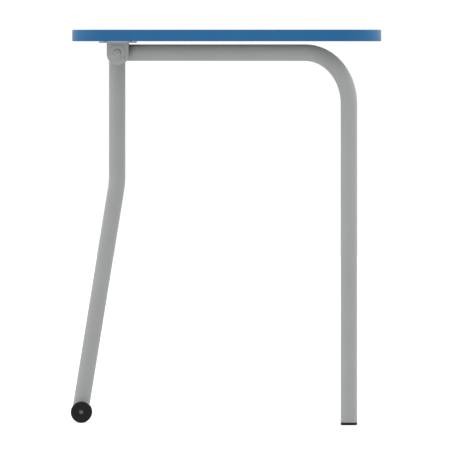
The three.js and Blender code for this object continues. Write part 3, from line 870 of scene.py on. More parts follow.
class ShaderGroups:
    """The effects that several finishes share, each built once."""

    def __init__(self) -> None:
        """Builds the three groups."""
        self.mottle = self._mottle()
        self.relief = self._relief()
        self.worn = self._worn()

    @staticmethod
    def _mottle() -> Tree:
        """A colour that drifts slightly in soft patches and fine specks.

        Returns:
            The group's tree.
        """
        graph, given, result = new_tree("Colour drift", "ShaderNodeTree", [
            ("Color", "Color", None), ("Second Color", "Color", None), ("Patch Size", "Float", 0.05),
            ("Speck Size", "Float", 0.001), ("Speck Share", "Float", 0.3),
        ], [("Color", "Color", None), ("Mask", "Float", None)])
        of = given.outputs
        patches, specks = graph.noise(of["Patch Size"], 3.0), graph.noise(of["Speck Size"], 1.0)
        blend = graph.mix(of["Speck Share"], patches, specks)
        mask = graph.remap(blend, 0.3, 0.7, True)
        color = graph.mix(mask, of["Color"], of["Second Color"], True)
        graph.feed(result, {"Color": color, "Mask": mask})
        return graph.tree

    @staticmethod
    def _relief() -> Tree:
        """The height of a fine surface texture: grain on top of a slow ripple.

        Returns:
            The group's tree.
        """
        graph, given, result = new_tree("Fine relief", "ShaderNodeTree", [
            ("Grain Size", "Float", 0.0006), ("Ripple Size", "Float", 0.004), ("Ripple Share", "Float", 0.5),
        ], [("Height", "Float", None)])
        of = given.outputs
        grain, ripple = graph.noise(of["Grain Size"], 2.0), graph.noise(of["Ripple Size"], 1.0)
        graph.feed(result, {"Height": graph.mix(of["Ripple Share"], grain, ripple)})
        return graph.tree

    @staticmethod
    def _worn() -> Tree:
        """A mask of outer edges that are rubbed in uneven spots.

        Returns:
            The group's tree.
        """
        graph, given, result = new_tree("Worn edges", "ShaderNodeTree", [
            ("Edge Width", "Float", 0.0008), ("Spot Size", "Float", 0.006), ("Amount", "Float", 0.5),
        ], [("Mask", "Float", None)])
        of = given.outputs
        soft = graph.add("ShaderNodeBevel", {"Radius": of["Edge Width"]}, samples=4).outputs[0]
        crisp = graph.add("ShaderNodeNewGeometry").outputs["Normal"]
        same = graph.add("ShaderNodeVectorMath", {0: soft, 1: crisp}, operation="DOT_PRODUCT")
        edge = graph.remap(same.outputs["Value"], 0.995, 0.85)
        broken = graph.remap(graph.noise(of["Spot Size"], 4.0), 0.42, 0.62)
        rubbed = graph.math("MULTIPLY", edge, broken)
        graph.feed(result, {"Mask": graph.math("MULTIPLY", rubbed, of["Amount"])})
        return graph.tree


# ------------------------------------------------------------------ finishes


@dataclass(frozen=True)
class Finish:
    """A procedural finish: drifting colour, fine relief, varied gloss and rubbed edges."""

    name: str
    slot: str
    color: Color
    drift: Color
    roughness: float
    roughness_drift: float = 0.08
    metallic: float = 0.0
    patch_size: float = 0.05
    speck_size: float = 0.001
    speck_share: float = 0.3
    grain_size: float = 0.0006
    ripple_size: float = 0.004
    ripple_share: float = 0.5
    relief_depth: float = 0.00003
    wear_color: Optional[Color] = None
    wear_amount: float = 0.4
    specular: float = 0.5

    def build(self, groups: ShaderGroups) -> bpy.types.Material:
        """Makes the material.

        Args:
            groups: the shared shader groups.

        Returns:
            The material.
        """
        material = bpy.data.materials.new(self.name)
        graph = blank_graph(material)
        drift = graph.add("ShaderNodeGroup", {
            "Color": (*self.color, 1.0), "Second Color": (*self.drift, 1.0), "Patch Size": self.patch_size,
            "Speck Size": self.speck_size, "Speck Share": self.speck_share,
        }, node_tree=groups.mottle).outputs
        color, half = drift["Color"], self.roughness_drift / 2
        gloss = graph.add("ShaderNodeMapRange", {
            "Value": drift["Mask"], "To Min": self.roughness - half, "To Max": self.roughness + half,
        })
        if self.wear_color is not None:
            worn = graph.add("ShaderNodeGroup", {"Amount": self.wear_amount}, node_tree=groups.worn)
            color = graph.mix(worn.outputs["Mask"], color, (*self.wear_color, 1.0), True)
        relief = graph.add("ShaderNodeGroup", {
            "Grain Size": self.grain_size, "Ripple Size": self.ripple_size, "Ripple Share": self.ripple_share,
        }, node_tree=groups.relief)
        height = {"Height": relief.outputs["Height"], "Distance": self.relief_depth, "Strength": 1.0}
        shader = graph.add("ShaderNodeBsdfPrincipled", {
            "Metallic": self.metallic, "Specular IOR Level": self.specular, "Base Color": color,
            "Roughness": gloss.outputs[0], "Normal": graph.add("ShaderNodeBump", height).outputs["Normal"],
        })
        graph.add("ShaderNodeOutputMaterial", {"Surface": shader.outputs[0]})
        return material


class Finishes:
    """Every finish on the desk, built once."""

    def __init__(self) -> None:
        """Builds the materials."""
        groups = ShaderGroups()
        steel = (0.52, 0.54, 0.55)
        plan = [
            Finish("frame_powder_coat", "frame_paint", (0.45, 0.463, 0.457), (0.43, 0.443, 0.437), 0.45,
                   patch_size=0.07, relief_depth=0.00004, wear_color=(0.5, 0.5, 0.49), wear_amount=0.25,
                   specular=0.35),
            Finish("bracket_powder_coat", "bracket_paint", (0.51, 0.523, 0.519), (0.485, 0.498, 0.494), 0.48,
                   patch_size=0.03, relief_depth=0.00004, wear_color=steel, wear_amount=0.3,
                   specular=0.35),
            Finish("edge_polyurethane", "edge_blue", (0.023, 0.163, 0.386), (0.02, 0.153, 0.364), 0.42,
                   patch_size=0.06, relief_depth=0.00002, wear_color=(0.05, 0.22, 0.43), wear_amount=0.2,
                   specular=0.2),
            Finish("top_laminate_blue", "laminate_blue", (0.016, 0.17, 0.385), (0.012, 0.15, 0.35), 0.4,
                   patch_size=0.004, speck_size=0.0011, speck_share=0.45, grain_size=0.0009,
                   relief_depth=0.00005, roughness_drift=0.12),
            Finish("backing_laminate_grey", "backing_grey", (0.52, 0.53, 0.54), (0.47, 0.48, 0.49), 0.55,
                   patch_size=0.02, speck_share=0.5, relief_depth=0.00004),
            Finish("particle_board", "board", (0.43, 0.27, 0.12), (0.3, 0.17, 0.07), 0.85,
                   patch_size=0.004, speck_size=0.0015, speck_share=0.5, relief_depth=0.0004),
            Finish("zinc_plated_steel", "zinc_steel", steel, (0.46, 0.48, 0.49), 0.46,
                   metallic=0.75, patch_size=0.006, relief_depth=0.00002, wear_color=(0.7, 0.7, 0.7)),
            # A dark grey steel for the axle, far darker than the zinc-plated steel, so that the axle end
            # comes out dark.
            Finish("dark_drawn_steel", "drawn_steel", (0.2, 0.2, 0.2), (0.15, 0.15, 0.15), 0.45,
                   metallic=0.8, patch_size=0.004, relief_depth=0.00003, wear_color=(0.3, 0.3, 0.3)),
            Finish("turned_brass", "brass", (0.62, 0.42, 0.13), (0.52, 0.33, 0.1), 0.3,
                   metallic=1.0, patch_size=0.005, relief_depth=0.00002),
            Finish("black_moulded_plastic", "black_plastic", (0.011, 0.011, 0.012), (0.016, 0.016, 0.017),
                   0.5, patch_size=0.01, grain_size=0.0005, relief_depth=0.00006,
                   wear_color=(0.06, 0.06, 0.062), wear_amount=0.35, specular=0.3),
            Finish("black_tyre_rubber", "black_rubber", (0.01, 0.01, 0.0102), (0.016, 0.016, 0.0162), 0.72,
                   patch_size=0.008, grain_size=0.0006, relief_depth=0.00008,
                   wear_color=(0.05, 0.05, 0.048), wear_amount=0.3, specular=0.3),
            Finish("natural_nylon", "pale_nylon", (0.62, 0.6, 0.53), (0.56, 0.54, 0.48), 0.45,
                   patch_size=0.008, relief_depth=0.00003),
        ]
        self.by_slot: Dict[str, bpy.types.Material] = {f.slot: f.build(groups) for f in plan}
        self.slot_of: Dict[str, str] = {
            part["node"]: part["material_slot"] for part in frame["record"]["subparts"]
        }

    def dress_nodes(self) -> None:
        """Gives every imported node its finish."""
        for name, node in frame["nodes"].items():
            node.data.materials.clear()
            node.data.materials.append(self.by_slot[self.slot_of[name]])


@dataclass
class Shop:
    """Where finished pieces are dressed, mounted on their bodies and reported."""

    finishes: Finishes
    bead: Tree = field(default_factory=weld_bead_tree)
    copies: Tree = field(default_factory=copies_tree)

    def fit(self, piece: Piece, body: Body, slot: str, *nodes: str) -> Piece:
        """Dresses a piece and mounts it.

        Args:
            piece: the finished piece.
            body: the body that it moves with.
            slot: the record slot of its finish.
            nodes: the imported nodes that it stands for.

        Returns:
            The piece.
        """
        piece.data.materials.clear()
        piece.data.materials.append(self.finishes.by_slot[slot])
        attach(piece, body.value)
        if nodes:
            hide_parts(*nodes)
        LOG.info("%s rides on %s, %d faces", piece.name, body.value, len(piece.data.polygons))
        return piece

    def ring(self, name: str, node: str, body: Body, slot: str, outer: float, inner: float, edge: float,
             segments: int, way: Vector = ALONG_Y) -> None:
        """Makes a washer, bush or sleeve over its node's whole length along Y.

        Args:
            name: the piece's name.
            node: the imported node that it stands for.
            body: the body that it moves with.
            slot: the record slot of its finish.
            outer: its outer radius.
            inner: its bore's radius.
            edge: the radius that eases its edges.
            segments: facets round it.
            way: the direction in which it is built up, along Y.
        """
        profile = collar(outer, inner, *sorted(way.y * corner.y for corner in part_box(node)), edge)
        piece = turned(name, profile, on_axis(middle(node), 0.0, way), segments, True)
        self.fit(piece, body, slot, node)

    def sheet(self, name: str, node: str, body: Body, slot: str, outline: Sequence[Point2],
              holes: Sequence[Sequence[Point2]], edge: float) -> None:
        """Makes a flat sheet that stands across Y, drawn from the pivot's centre.

        Args:
            name: the piece's name.
            node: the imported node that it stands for.
            body: the body that it moves with.
            slot: the record slot of its finish.
            outline: its outer line in X and Z.
            holes: the holes' lines.
            edge: the radius that eases its edges.
        """
        low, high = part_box(node)
        self.fit(plate(name, outline, holes, -high.y, -low.y, edge, upright(pivot())), body, slot, node)

    def weld(self, name: str, line: Sequence[Vector], body: Body, slot: str, radius: float,
             closed: bool = True) -> None:
        """Lays a weld bead along a line.

        Args:
            name: the bead's name.
            line: the points that it follows.
            body: the body that it moves with.
            slot: the finish that covers it.
            radius: the bead's radius.
            closed: whether the line joins up.
        """
        values = {"Bead Radius": radius, "Material": self.finishes.by_slot[slot]}
        self.fit(run_nodes(line_object(name, line, closed), self.bead, values, name), body, slot)

    def copied(self, name: str, part: Piece, places: Sequence[Tuple[Vector, Vector]], body: Body,
               slot: str, *nodes: str) -> None:
        """Puts copies of a part at several places, as one piece.

        Args:
            name: the piece's name.
            part: the part to copy; it is removed.
            places: (position, Euler angles) of each copy.
            body: the body that they move with.
            slot: the record slot of their finish.
            nodes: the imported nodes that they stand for.
        """
        values = {"Part": part, "Material": self.finishes.by_slot[slot]}
        piece = run_nodes(points_object(name, places), self.copies, values, name)
        bpy.data.objects.remove(part)
        self.fit(piece, body, slot, *nodes)


# ------------------------------------------------------------------ top


@dataclass
class TableTop:
    """The rounded triangular top: moulded edge, laminate, core and backing."""

    edge_width: float = 4 * MM
    edge_rounding: float = 2.2 * MM
    laminate_edge: float = 0.25 * MM
    arc_steps: int = 40
    corner_radius: float = 116.6 * MM
    screw_hole: float = 5.1 * MM

    def corners(self) -> List[Point2]:
        """The three corner arcs' centres, nearest user's left first.

        Returns:
            The centres.
        """
        low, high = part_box("top_edge_band")
        far = high.x - self.corner_radius
        near = low.x + self.corner_radius
        half = (far - near) * math.tan(math.radians(30))
        return [(far, -half), (far, half), (near, 0.0)]

    def outline(self, inset: float) -> List[Point2]:
        """The top's plan, drawn in by an inset.

        Args:
            inset: how far the line is drawn in.

        Returns:
            The closed line.
        """
        third = TURN / 3
        points: List[Point2] = []
        for i, centre in enumerate(self.corners()):
            start = (i - 1) * third
            points += arc(centre, self.corner_radius - inset, start, start + third, self.arc_steps)
        return points

    def edge_band(self, shop: Shop) -> None:
        """The moulded band: its section is swept round the plan.

        Args:
            shop: where the pieces are dressed and mounted.
        """
        low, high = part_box("top_edge_band")
        half, level, deep = (high.z - low.z) / 2, (low.z + high.z) / 2, -self.edge_width
        section = rounded([(0.0, -half, self.edge_rounding), (0.0, half, self.edge_rounding),
                           (deep, half, 0.0), (deep, -half, 0.0)], steps=6)
        rings = [[Vector((x, y, level + height)) for x, y in self.outline(-out)] for out, height in section]
        shop.fit(loft("moulded_edge", rings), Body.FLIP_TOP, "edge_blue", "top_edge_band")

    def sheet(self, shop: Shop, name: str, node: str, slot: str, holes: Sequence[Sequence[Point2]]) -> None:
        """One laminate sheet inside the band.

        Args:
            shop: where the pieces are dressed and mounted.
            name: the piece's name.
            node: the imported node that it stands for.
            slot: the record slot of its finish.
            holes: the holes' lines.
        """
        low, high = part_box(node)
        piece = plate(name, self.outline(self.edge_width), holes, low.z, high.z, self.laminate_edge)
        shop.fit(piece, Body.FLIP_TOP, slot, node)

    def build(self, shop: Shop) -> None:
        """Makes the top's visible pieces.

        Args:
            shop: where the pieces are dressed and mounted.
        """
        self.edge_band(shop)
        self.sheet(shop, "writing_laminate", "top_laminate", "laminate_blue", [])
        holes = [circle((middle(node).x, middle(node).y), self.screw_hole, 32) for node in SCREWS]
        self.sheet(shop, "backing_sheet", "top_backing", "backing_grey", holes)


# ------------------------------------------------------------------ bracket and pivot


@dataclass
class HingeBracket:
    """The plate and two cheeks under the top, with the pivot bolt and its washers."""

    cheek_round: float = 21.2 * MM
    cheek_shift: float = 0.9 * MM
    cheek_drop: float = 2.8 * MM
    bolt_radius: float = 4 * MM
    bolt_chamfer: float = 0.6 * MM
    dome_start: float = 3.3 * MM
    dome_rim: float = 0.4 * MM
    dome_steps: int = 8
    bolt_head: float = 7 * MM
    bolt_head_height: float = 4.4 * MM
    bolt_socket: float = 5 * MM
    socket_depth: float = 2.6 * MM
    washer_radius: float = 14.5 * MM
    pin_hole: float = 2.3 * MM
    pin_head: float = 4.2 * MM
    pin_head_height: float = 1.8 * MM
    pin_place: Point2 = (10.71 * MM, -11.89 * MM)
    plate_corner: float = 8 * MM
    screw_head: float = 5.8 * MM
    screw_radius: float = 3 * MM
    screw_socket: float = 4 * MM
    screw_socket_depth: float = 1.6 * MM
    screw_turn: float = 0.4
    sheet_edge: float = 0.5 * MM
    washer_edge: float = 0.25 * MM
    socket_rim: float = 0.15 * MM
    socket_land: float = 3.1 * MM
    weld_radius: float = 1.5 * MM
    weld_inset: float = 3 * MM

    def cheek(self, shop: Shop, side: Side) -> None:
        """A cheek with a half-round lower end, and the weld that holds it to the plate.

        Args:
            shop: where the pieces are dressed and mounted.
            side: the user's hand on whose side it stands.
        """
        node = f"bracket_cheek_{side.word}"
        centre, width, shift = pivot(), self.cheek_round, self.cheek_shift
        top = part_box("bracket_plate")[0].z - centre.z
        outline = [(shift + width, top), (shift - width, top)]
        outline += arc((shift, -self.cheek_drop), width, math.pi, TURN, 40)[1:-1]
        holes = [circle((0.0, 0.0), BOLT_BORE), circle(self.pin_place, self.pin_hole, 24)]
        shop.sheet(f"hinge_cheek_{side.word}", node, Body.FLIP_TOP, "bracket_paint",
                   outline, holes, self.sheet_edge)
        lift, reach = centre.z + top - FINE, width - self.weld_inset
        for label, y in zip(("inner", "outer"), side.faces(node)):
            line = [Vector((centre.x + shift + reach * s, y, lift)) for s in (-1.0, -0.5, 0.0, 0.5, 1.0)]
            shop.weld(f"cheek_weld_{side.word}_{label}", line, Body.FLIP_TOP, "bracket_paint",
                      self.weld_radius, False)

    def mounting_plate(self, shop: Shop) -> None:
        """The plate, countersunk for its four screws.

        Args:
            shop: where the pieces are dressed and mounted.
        """
        low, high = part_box("bracket_plate")
        r = self.plate_corner
        outline = rounded([(low.x, low.y, r), (high.x, low.y, r), (high.x, high.y, r), (low.x, high.y, r)], 8)
        body = plate("plate_blank", outline, [], low.z, high.z, self.sheet_edge)
        head, shank, below, above = self.screw_head + GAP, self.screw_radius + GAP, -5 * MM, 9 * MM
        rim = [(0.0, below), (head, below), (head, 0.0)]
        profile = rim + [(shank, head - shank), (shank, above), (0.0, above)]
        sinks = [turned(f"sink_{node}", profile, over(node, low.z), 48) for node in SCREWS]
        piece = merged("mounting_plate", body, sinks, take=True)
        shop.fit(piece, Body.FLIP_TOP, "bracket_paint", "bracket_plate")

    def screws(self, shop: Shop) -> None:
        """Four countersunk screws, as copies of one.

        Args:
            shop: where the pieces are dressed and mounted.
        """
        low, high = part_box(SCREWS[0])
        length, socket, deep = high.z - low.z, hexagon(self.screw_socket), self.screw_socket_depth
        head, shank = self.screw_head, self.screw_radius
        profile: List[Tuple[Radius, float]] = [
            (0.0, deep), (socket, deep), (socket, 0.0), (head - FINE, 0.0), (head, self.socket_rim),
            (shank, head - shank), (shank, length), (0.0, length),
        ]
        places = []
        for i, node in enumerate(SCREWS, 1):
            foot = over(node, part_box(node)[0].z).translation
            places.append((foot, Vector((0, 0, self.screw_turn * i))))
        part = turned("screw_pattern", profile, FLAT, 48)
        shop.copied("plate_screws", part, places, Body.FLIP_TOP, "zinc_steel", *SCREWS)

    def bolt(self, shop: Shop) -> None:
        """The domed pivot bolt with a hexagon socket.

        Args:
            shop: where the pieces are dressed and mounted.
        """
        low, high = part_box("pivot_bolt")
        length, head, socket = high.y - low.y, self.bolt_head_height, hexagon(self.bolt_socket)
        shank, cut = self.bolt_radius, self.bolt_chamfer
        profile: List[Tuple[Radius, float]] = [
            (0.0, self.socket_depth), (socket, self.socket_depth), (socket, self.socket_rim),
            (self.socket_land, 0.0),
        ]
        for i in range(1, self.dome_steps + 1):
            angle = QUARTER * i / self.dome_steps
            reach = self.dome_start + (self.bolt_head - self.dome_start) * math.sin(angle)
            profile.append((reach, (head - self.dome_rim) * (1 - math.cos(angle))))
        profile += [(self.bolt_head, head), (shank, head), (shank, length - cut), (shank - cut, length)]
        profile.append((0.0, length))
        piece = turned("pivot_bolt_m8", profile, on_axis(pivot(), low.y))
        shop.fit(piece, Body.FLIP_TOP, "zinc_steel", "pivot_bolt")

    def hardware(self, shop: Shop, side: Side) -> None:
        """One side's washer, friction washer and stop pin.

        Args:
            shop: where the pieces are dressed and mounted.
            side: the user's hand on whose side it stands.
        """
        shop.sheet(f"bolt_washer_{side.word}", f"pivot_washer_{side.word}", Body.FLIP_TOP, "bracket_paint",
                   self.notched_disc(), [circle((0.0, 0.0), BOLT_BORE)], self.washer_edge)
        node = f"friction_washer_{side.word}"
        shop.ring(f"slip_washer_{side.word}", node, Body.FLIP_TOP, "pale_nylon",
                  half_width(node), BOLT_BORE, FINE, 64)
        node = f"stop_pin_{side.word}"
        low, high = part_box(node)
        length, shank = high.y - low.y, self.pin_hole - GAP
        base = length - self.pin_head_height
        corners = [
            (0.0, 0.0, 0.0), (shank, 0.0, EASE), (shank, base, 0.0), (self.pin_head, base, FINE),
            (self.pin_head, length, 0.7 * MM), (0.0, length, 0.0),
        ]
        place = on_axis(middle(node), side.faces(node)[0], side.out)
        rivet = turned(f"stop_rivet_{side.word}", rounded(corners, closed=False), place, 48)
        shop.fit(rivet, Body.FLIP_TOP, "bracket_paint", node)

    def notched_disc(self) -> List[Point2]:
        """The washer's outline, with a round bite for the stop pin's head.

        Returns:
            The closed line.
        """
        bite, outer, centre = self.pin_head + GAP, self.washer_radius, Vector(self.pin_place)
        along = (outer ** 2 - bite ** 2 + centre.length_squared) / (2 * centre.length)
        half = math.sqrt(outer ** 2 - along ** 2)
        way = centre.normalized()
        side = Vector((-way.y, way.x))
        first, last = way * along + side * half, way * along - side * half
        a0, a1 = math.atan2(first.y, first.x), math.atan2(last.y, last.x)
        rim = arc((0.0, 0.0), outer, a0, a1 + TURN if a1 < a0 else a1, 60)
        b0 = math.atan2(last.y - centre.y, last.x - centre.x)
        b1 = math.atan2(first.y - centre.y, first.x - centre.x)
        return rim + arc((centre.x, centre.y), bite, b0, b0 - (b0 - b1) % TURN, 16)[1:-1]

    def build(self, shop: Shop) -> None:
        """Makes the bracket and its hardware.

        Args:
            shop: where the pieces are dressed and mounted.
        """
        self.mounting_plate(shop)
        self.screws(shop)
        self.bolt(shop)
        for side in Side:
            self.cheek(shop, side)
            self.hardware(shop, side)


@dataclass
class ClampKnob:
    """The lobed knob on the pivot bolt, and its threaded insert."""

    radius: float = 17 * MM
    lobes: int = 6
    lobe_depth: float = 2.6 * MM
    boss_radius: float = 11 * MM
    boss_length: float = 6 * MM
    bore: float = 6.3 * MM
    face_radius: float = 9 * MM
    rounding: float = 2.2 * MM
    rounding_steps: int = 6

    def lobed(self, reach: float) -> Callable[[float], float]:
        """The grip's radius as a function of angle."""
        return lambda angle: reach - self.lobe_depth * (1 + math.cos(self.lobes * angle)) / 2

    def build(self, shop: Shop) -> None:
        """Makes the grip and the insert.

        Args:
            shop: where the pieces are dressed and mounted.
        """
        low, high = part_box("clamp_knob")
        length, base, boss, round_off = high.y - low.y, self.boss_length, self.boss_radius, self.rounding
        profile: List[Tuple[Radius, float]] = [
            (self.bore, 0.0), (boss - BLUNT, 0.0), (boss, BLUNT),
            (boss, base - FULL), (boss + FULL, base),
        ]
        angles = [QUARTER * i / self.rounding_steps for i in range(self.rounding_steps + 1)]
        for angle in angles:
            reach = self.radius - round_off * (1 - math.sin(angle))
            profile.append((self.lobed(reach), base + round_off * (1 - math.cos(angle))))
        for angle in angles:
            reach = self.radius - round_off * (1 - math.cos(angle))
            profile.append((self.lobed(reach), length - round_off * (1 - math.sin(angle))))
        face = length - SOFT
        profile += [(self.face_radius + BLUNT, length), (self.face_radius, face), (self.bore, face)]
        grip = turned("knob_grip", profile, on_axis(middle("clamp_insert"), low.y), 96, True)
        shop.fit(grip, Body.CLAMP, "black_plastic", "clamp_knob")
        shop.ring("knob_insert", "clamp_insert", Body.CLAMP, "brass",
                  self.bore - 0.05 * MM, BOLT_BORE, SOFT, 48)


# ------------------------------------------------------------------ frame


@dataclass
class TubeFrame:
    """The welded frame: sleeve, kinked front leg, two side tubes and the cross rail."""

    radius: float = 16 * MM
    wall: float = 2 * MM
    sleeve_wall: float = 2.5 * MM
    spread: float = math.radians(30)
    rear_bend: float = 98 * MM
    kink_height: float = 465 * MM
    kink_bend: float = 169 * MM
    leg_slope: float = math.radians(9.15)
    leg_shift: float = -0.5 * MM
    leg_end_above_axle: float = 8 * MM
    rail_radius: float = 12.5 * MM
    rail_wall: float = 1.5 * MM
    weld_radius: float = 1.9 * MM
    leg_weld_radius: float = 1.25 * MM
    disc_radius: float = 18 * MM
    lobe_radius: float = 20.5 * MM
    slot_radius: float = 16 * MM
    slot_half_width: float = 2.3 * MM
    disc_bore: float = 4.8 * MM
    lobe_start: float = math.radians(-70)
    lobe_end: float = math.radians(60)
    slot_start: float = math.radians(-48)
    slot_end: float = math.radians(42)
    seam_lift: float = 0.3 * MM
    rail_weld_radius: float = 1.5 * MM
    disc_weld_radius: float = 1.1 * MM

    def sleeve_bar(self) -> RoundCutter:
        """The sleeve's outside, for coping tubes to it."""
        return RoundCutter(pivot(), ALONG_Y, self.radius)

    def way_out(self, side: Side) -> Vector:
        """The direction in which a side tube leaves the pivot."""
        return Vector((math.cos(self.spread), side.value * math.sin(self.spread), 0.0))

    def leg_end(self) -> Tuple[Vector, Vector]:
        """The foot of the leg's centre line, and the upward direction of its slanted stretch.

        Returns:
            The foot's place and the direction.
        """
        above = middle("wheel_axle").z + self.leg_end_above_axle
        across = math.tan(self.leg_slope) * (self.kink_height - above)
        end = Vector((pivot().x + self.leg_shift - across, 0.0, above))
        return end, Vector((math.sin(self.leg_slope), 0.0, math.cos(self.leg_slope)))

    def front_leg(self, shop: Shop) -> None:
        """The kinked leg and the weld round its coped top.

        Args:
            shop: where the pieces are dressed and mounted.
        """
        start = Vector((pivot().x + self.leg_shift, 0.0, pivot().z))
        kink = Vector((start.x, 0.0, self.kink_height))
        line = bent_line(start, kink, self.leg_end()[0], self.kink_bend, 14)
        cutters = [self.sleeve_bar()]
        tube = Tube("kinked_leg", line, self.radius, self.wall, cutters)
        shop.fit(tube.build(), Body.FRAME, "frame_paint", "front_leg")
        shop.weld("leg_weld", tube.seam(cutters), Body.FRAME, "frame_paint", self.leg_weld_radius)

    def side_tube(self, shop: Shop, side: Side) -> None:
        """A side tube with its rear leg, and the weld round its coped end.

        Args:
            shop: where the pieces are dressed and mounted.
            side: the user's hand on whose side it stands.
        """
        node, start, out = f"side_tube_{side.word}", pivot(), self.way_out(side)
        corner = start + out * ((middle(f"rear_glide_{side.word}").x - start.x) / out.x)
        end = Vector((corner.x, corner.y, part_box(node)[0].z))
        cutters: List[Cutter] = [self.sleeve_bar(), FlatCutter(start, side.out)]
        line = bent_line(start, corner, end, self.rear_bend)
        tube = Tube(f"bent_{node}", line, self.radius, self.wall, cutters)
        shop.fit(tube.build(), Body.FRAME, "frame_paint", node)
        seam = tube.seam(cutters, True, self.seam_lift)
        shop.weld(f"side_tube_weld_{side.word}", seam, Body.FRAME, "frame_paint", self.weld_radius)

    def cross_rail(self, shop: Shop) -> None:
        """The rail between the side tubes, coped and welded at both ends.

        Args:
            shop: where the pieces are dressed and mounted.
        """
        start, x = pivot(), middle("cross_rail").x
        reach = (x - start.x) * math.tan(self.spread)
        bars = {s: RoundCutter(start, self.way_out(s), self.radius) for s in Side}
        line = [Station(Vector((x, reach * t, start.z)), ALONG_Y) for t in (-1.0, -0.7, 0.0, 0.7, 1.0)]
        tube = Tube("rear_cross_rail", line, self.rail_radius, self.rail_wall,
                    [bars[Side.LEFT]], [bars[Side.RIGHT]], 56)
        shop.fit(tube.build(), Body.FRAME, "frame_paint", "cross_rail")
        for side in Side:
            seam = tube.seam([bars[side]], side is Side.LEFT, self.seam_lift)
            shop.weld(f"rail_weld_{side.word}", seam, Body.FRAME, "frame_paint", self.rail_weld_radius)

    def sleeve(self, shop: Shop) -> None:
        """The pivot sleeve, its bushes and its slotted stop discs.

        Args:
            shop: where the pieces are dressed and mounted.
        """
        shop.ring("sleeve_tube", "pivot_sleeve", Body.FRAME, "frame_paint",
                  self.radius, self.radius - self.sleeve_wall, SOFT, 96)
        for side in Side:
            node = f"pivot_bush_{side.word}"
            shop.ring(f"sleeve_bush_{side.word}", node, Body.FRAME, "pale_nylon",
                      half_width(node), BOLT_BORE, BLUNT, 64)
            self.stop_disc(shop, side)

    def stop_disc(self, shop: Shop, side: Side) -> None:
        """A disc with an arc slot that limits the swing of the top, and its weld to the sleeve.

        Args:
            shop: where the pieces are dressed and mounted.
            side: the user's hand on whose side it stands.
        """
        node, hub = f"stop_disc_{side.word}", (0.0, 0.0)
        outline = arc(hub, self.lobe_radius, self.lobe_start, self.lobe_end, 40)
        outline += arc(hub, self.disc_radius, self.lobe_end, self.lobe_start + TURN, 60)
        first, last, half, run = self.slot_start, self.slot_end, self.slot_half_width, self.slot_radius
        ends = [(run * math.cos(a), run * math.sin(a)) for a in (first, last)]
        slot = arc(hub, run + half, first, last, 24) + arc(ends[1], half, last, last + math.pi, 8)[1:-1]
        slot += arc(hub, run - half, last, first, 24)
        slot += arc(ends[0], half, first + math.pi, first + TURN, 8)[1:-1]
        shop.sheet(f"slotted_disc_{side.word}", node, Body.FRAME, "frame_paint", outline,
                   [circle(hub, self.disc_bore), slot], SOFT)
        y = side.faces(node)[0] - side.value * GAP
        line = [Vector((x, y, z)) for x, z in circle((pivot().x, pivot().z), self.radius + FINE)]
        shop.weld(f"disc_weld_{side.word}", line, Body.FRAME, "frame_paint", self.disc_weld_radius)

    def build(self, shop: Shop) -> None:
        """Makes the whole frame.

        Args:
            shop: where the pieces are dressed and mounted.
        """
        self.sleeve(shop)
        self.front_leg(shop)
        for side in Side:
            self.side_tube(shop, side)
        self.cross_rail(shop)


@dataclass
class RearFeet:
    """The black glides in the rear legs, with barbed stems."""

    edge: float = 1.0 * MM
    stem_step: float = 2.7 * MM
    pad_height: float = 0.6 * MM
    pad_inset: float = 4 * MM
    barb_count: int = 4
    barb_depth: float = 0.25 * MM

    def build(self, shop: Shop) -> None:
        """Makes both glides.

        Args:
            shop: where the pieces are dressed and mounted.
        """
        for side in Side:
            node = f"rear_glide_{side.word}"
            radius, seat, top = half_width(node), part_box(f"side_tube_{side.word}")[0].z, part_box(node)[1].z
            stem, rim = radius - self.stem_step, radius - self.pad_inset
            pad, shoulder = self.pad_height, seat - FINE
            corners = [
                (0.0, pad, 0.0), (rim, pad, EASE), (rim - pad, 0.0, EASE),
                (radius - FULL, 0.0, self.edge), (radius, shoulder, BLUNT), (stem, shoulder, FINE),
            ]
            step = (top - seat) / self.barb_count
            for i in range(self.barb_count):
                base = seat + step * i
                corners += [(stem, base + 0.3 * step, 0.0), (stem - self.barb_depth, base + step, 0.0)]
            corners.append((0.0, top, 0.0))
            piece = turned(f"rear_foot_{side.word}", rounded(corners, closed=False), over(node, 0.0))
            shop.fit(piece, Body.FRAME, "black_plastic", node)


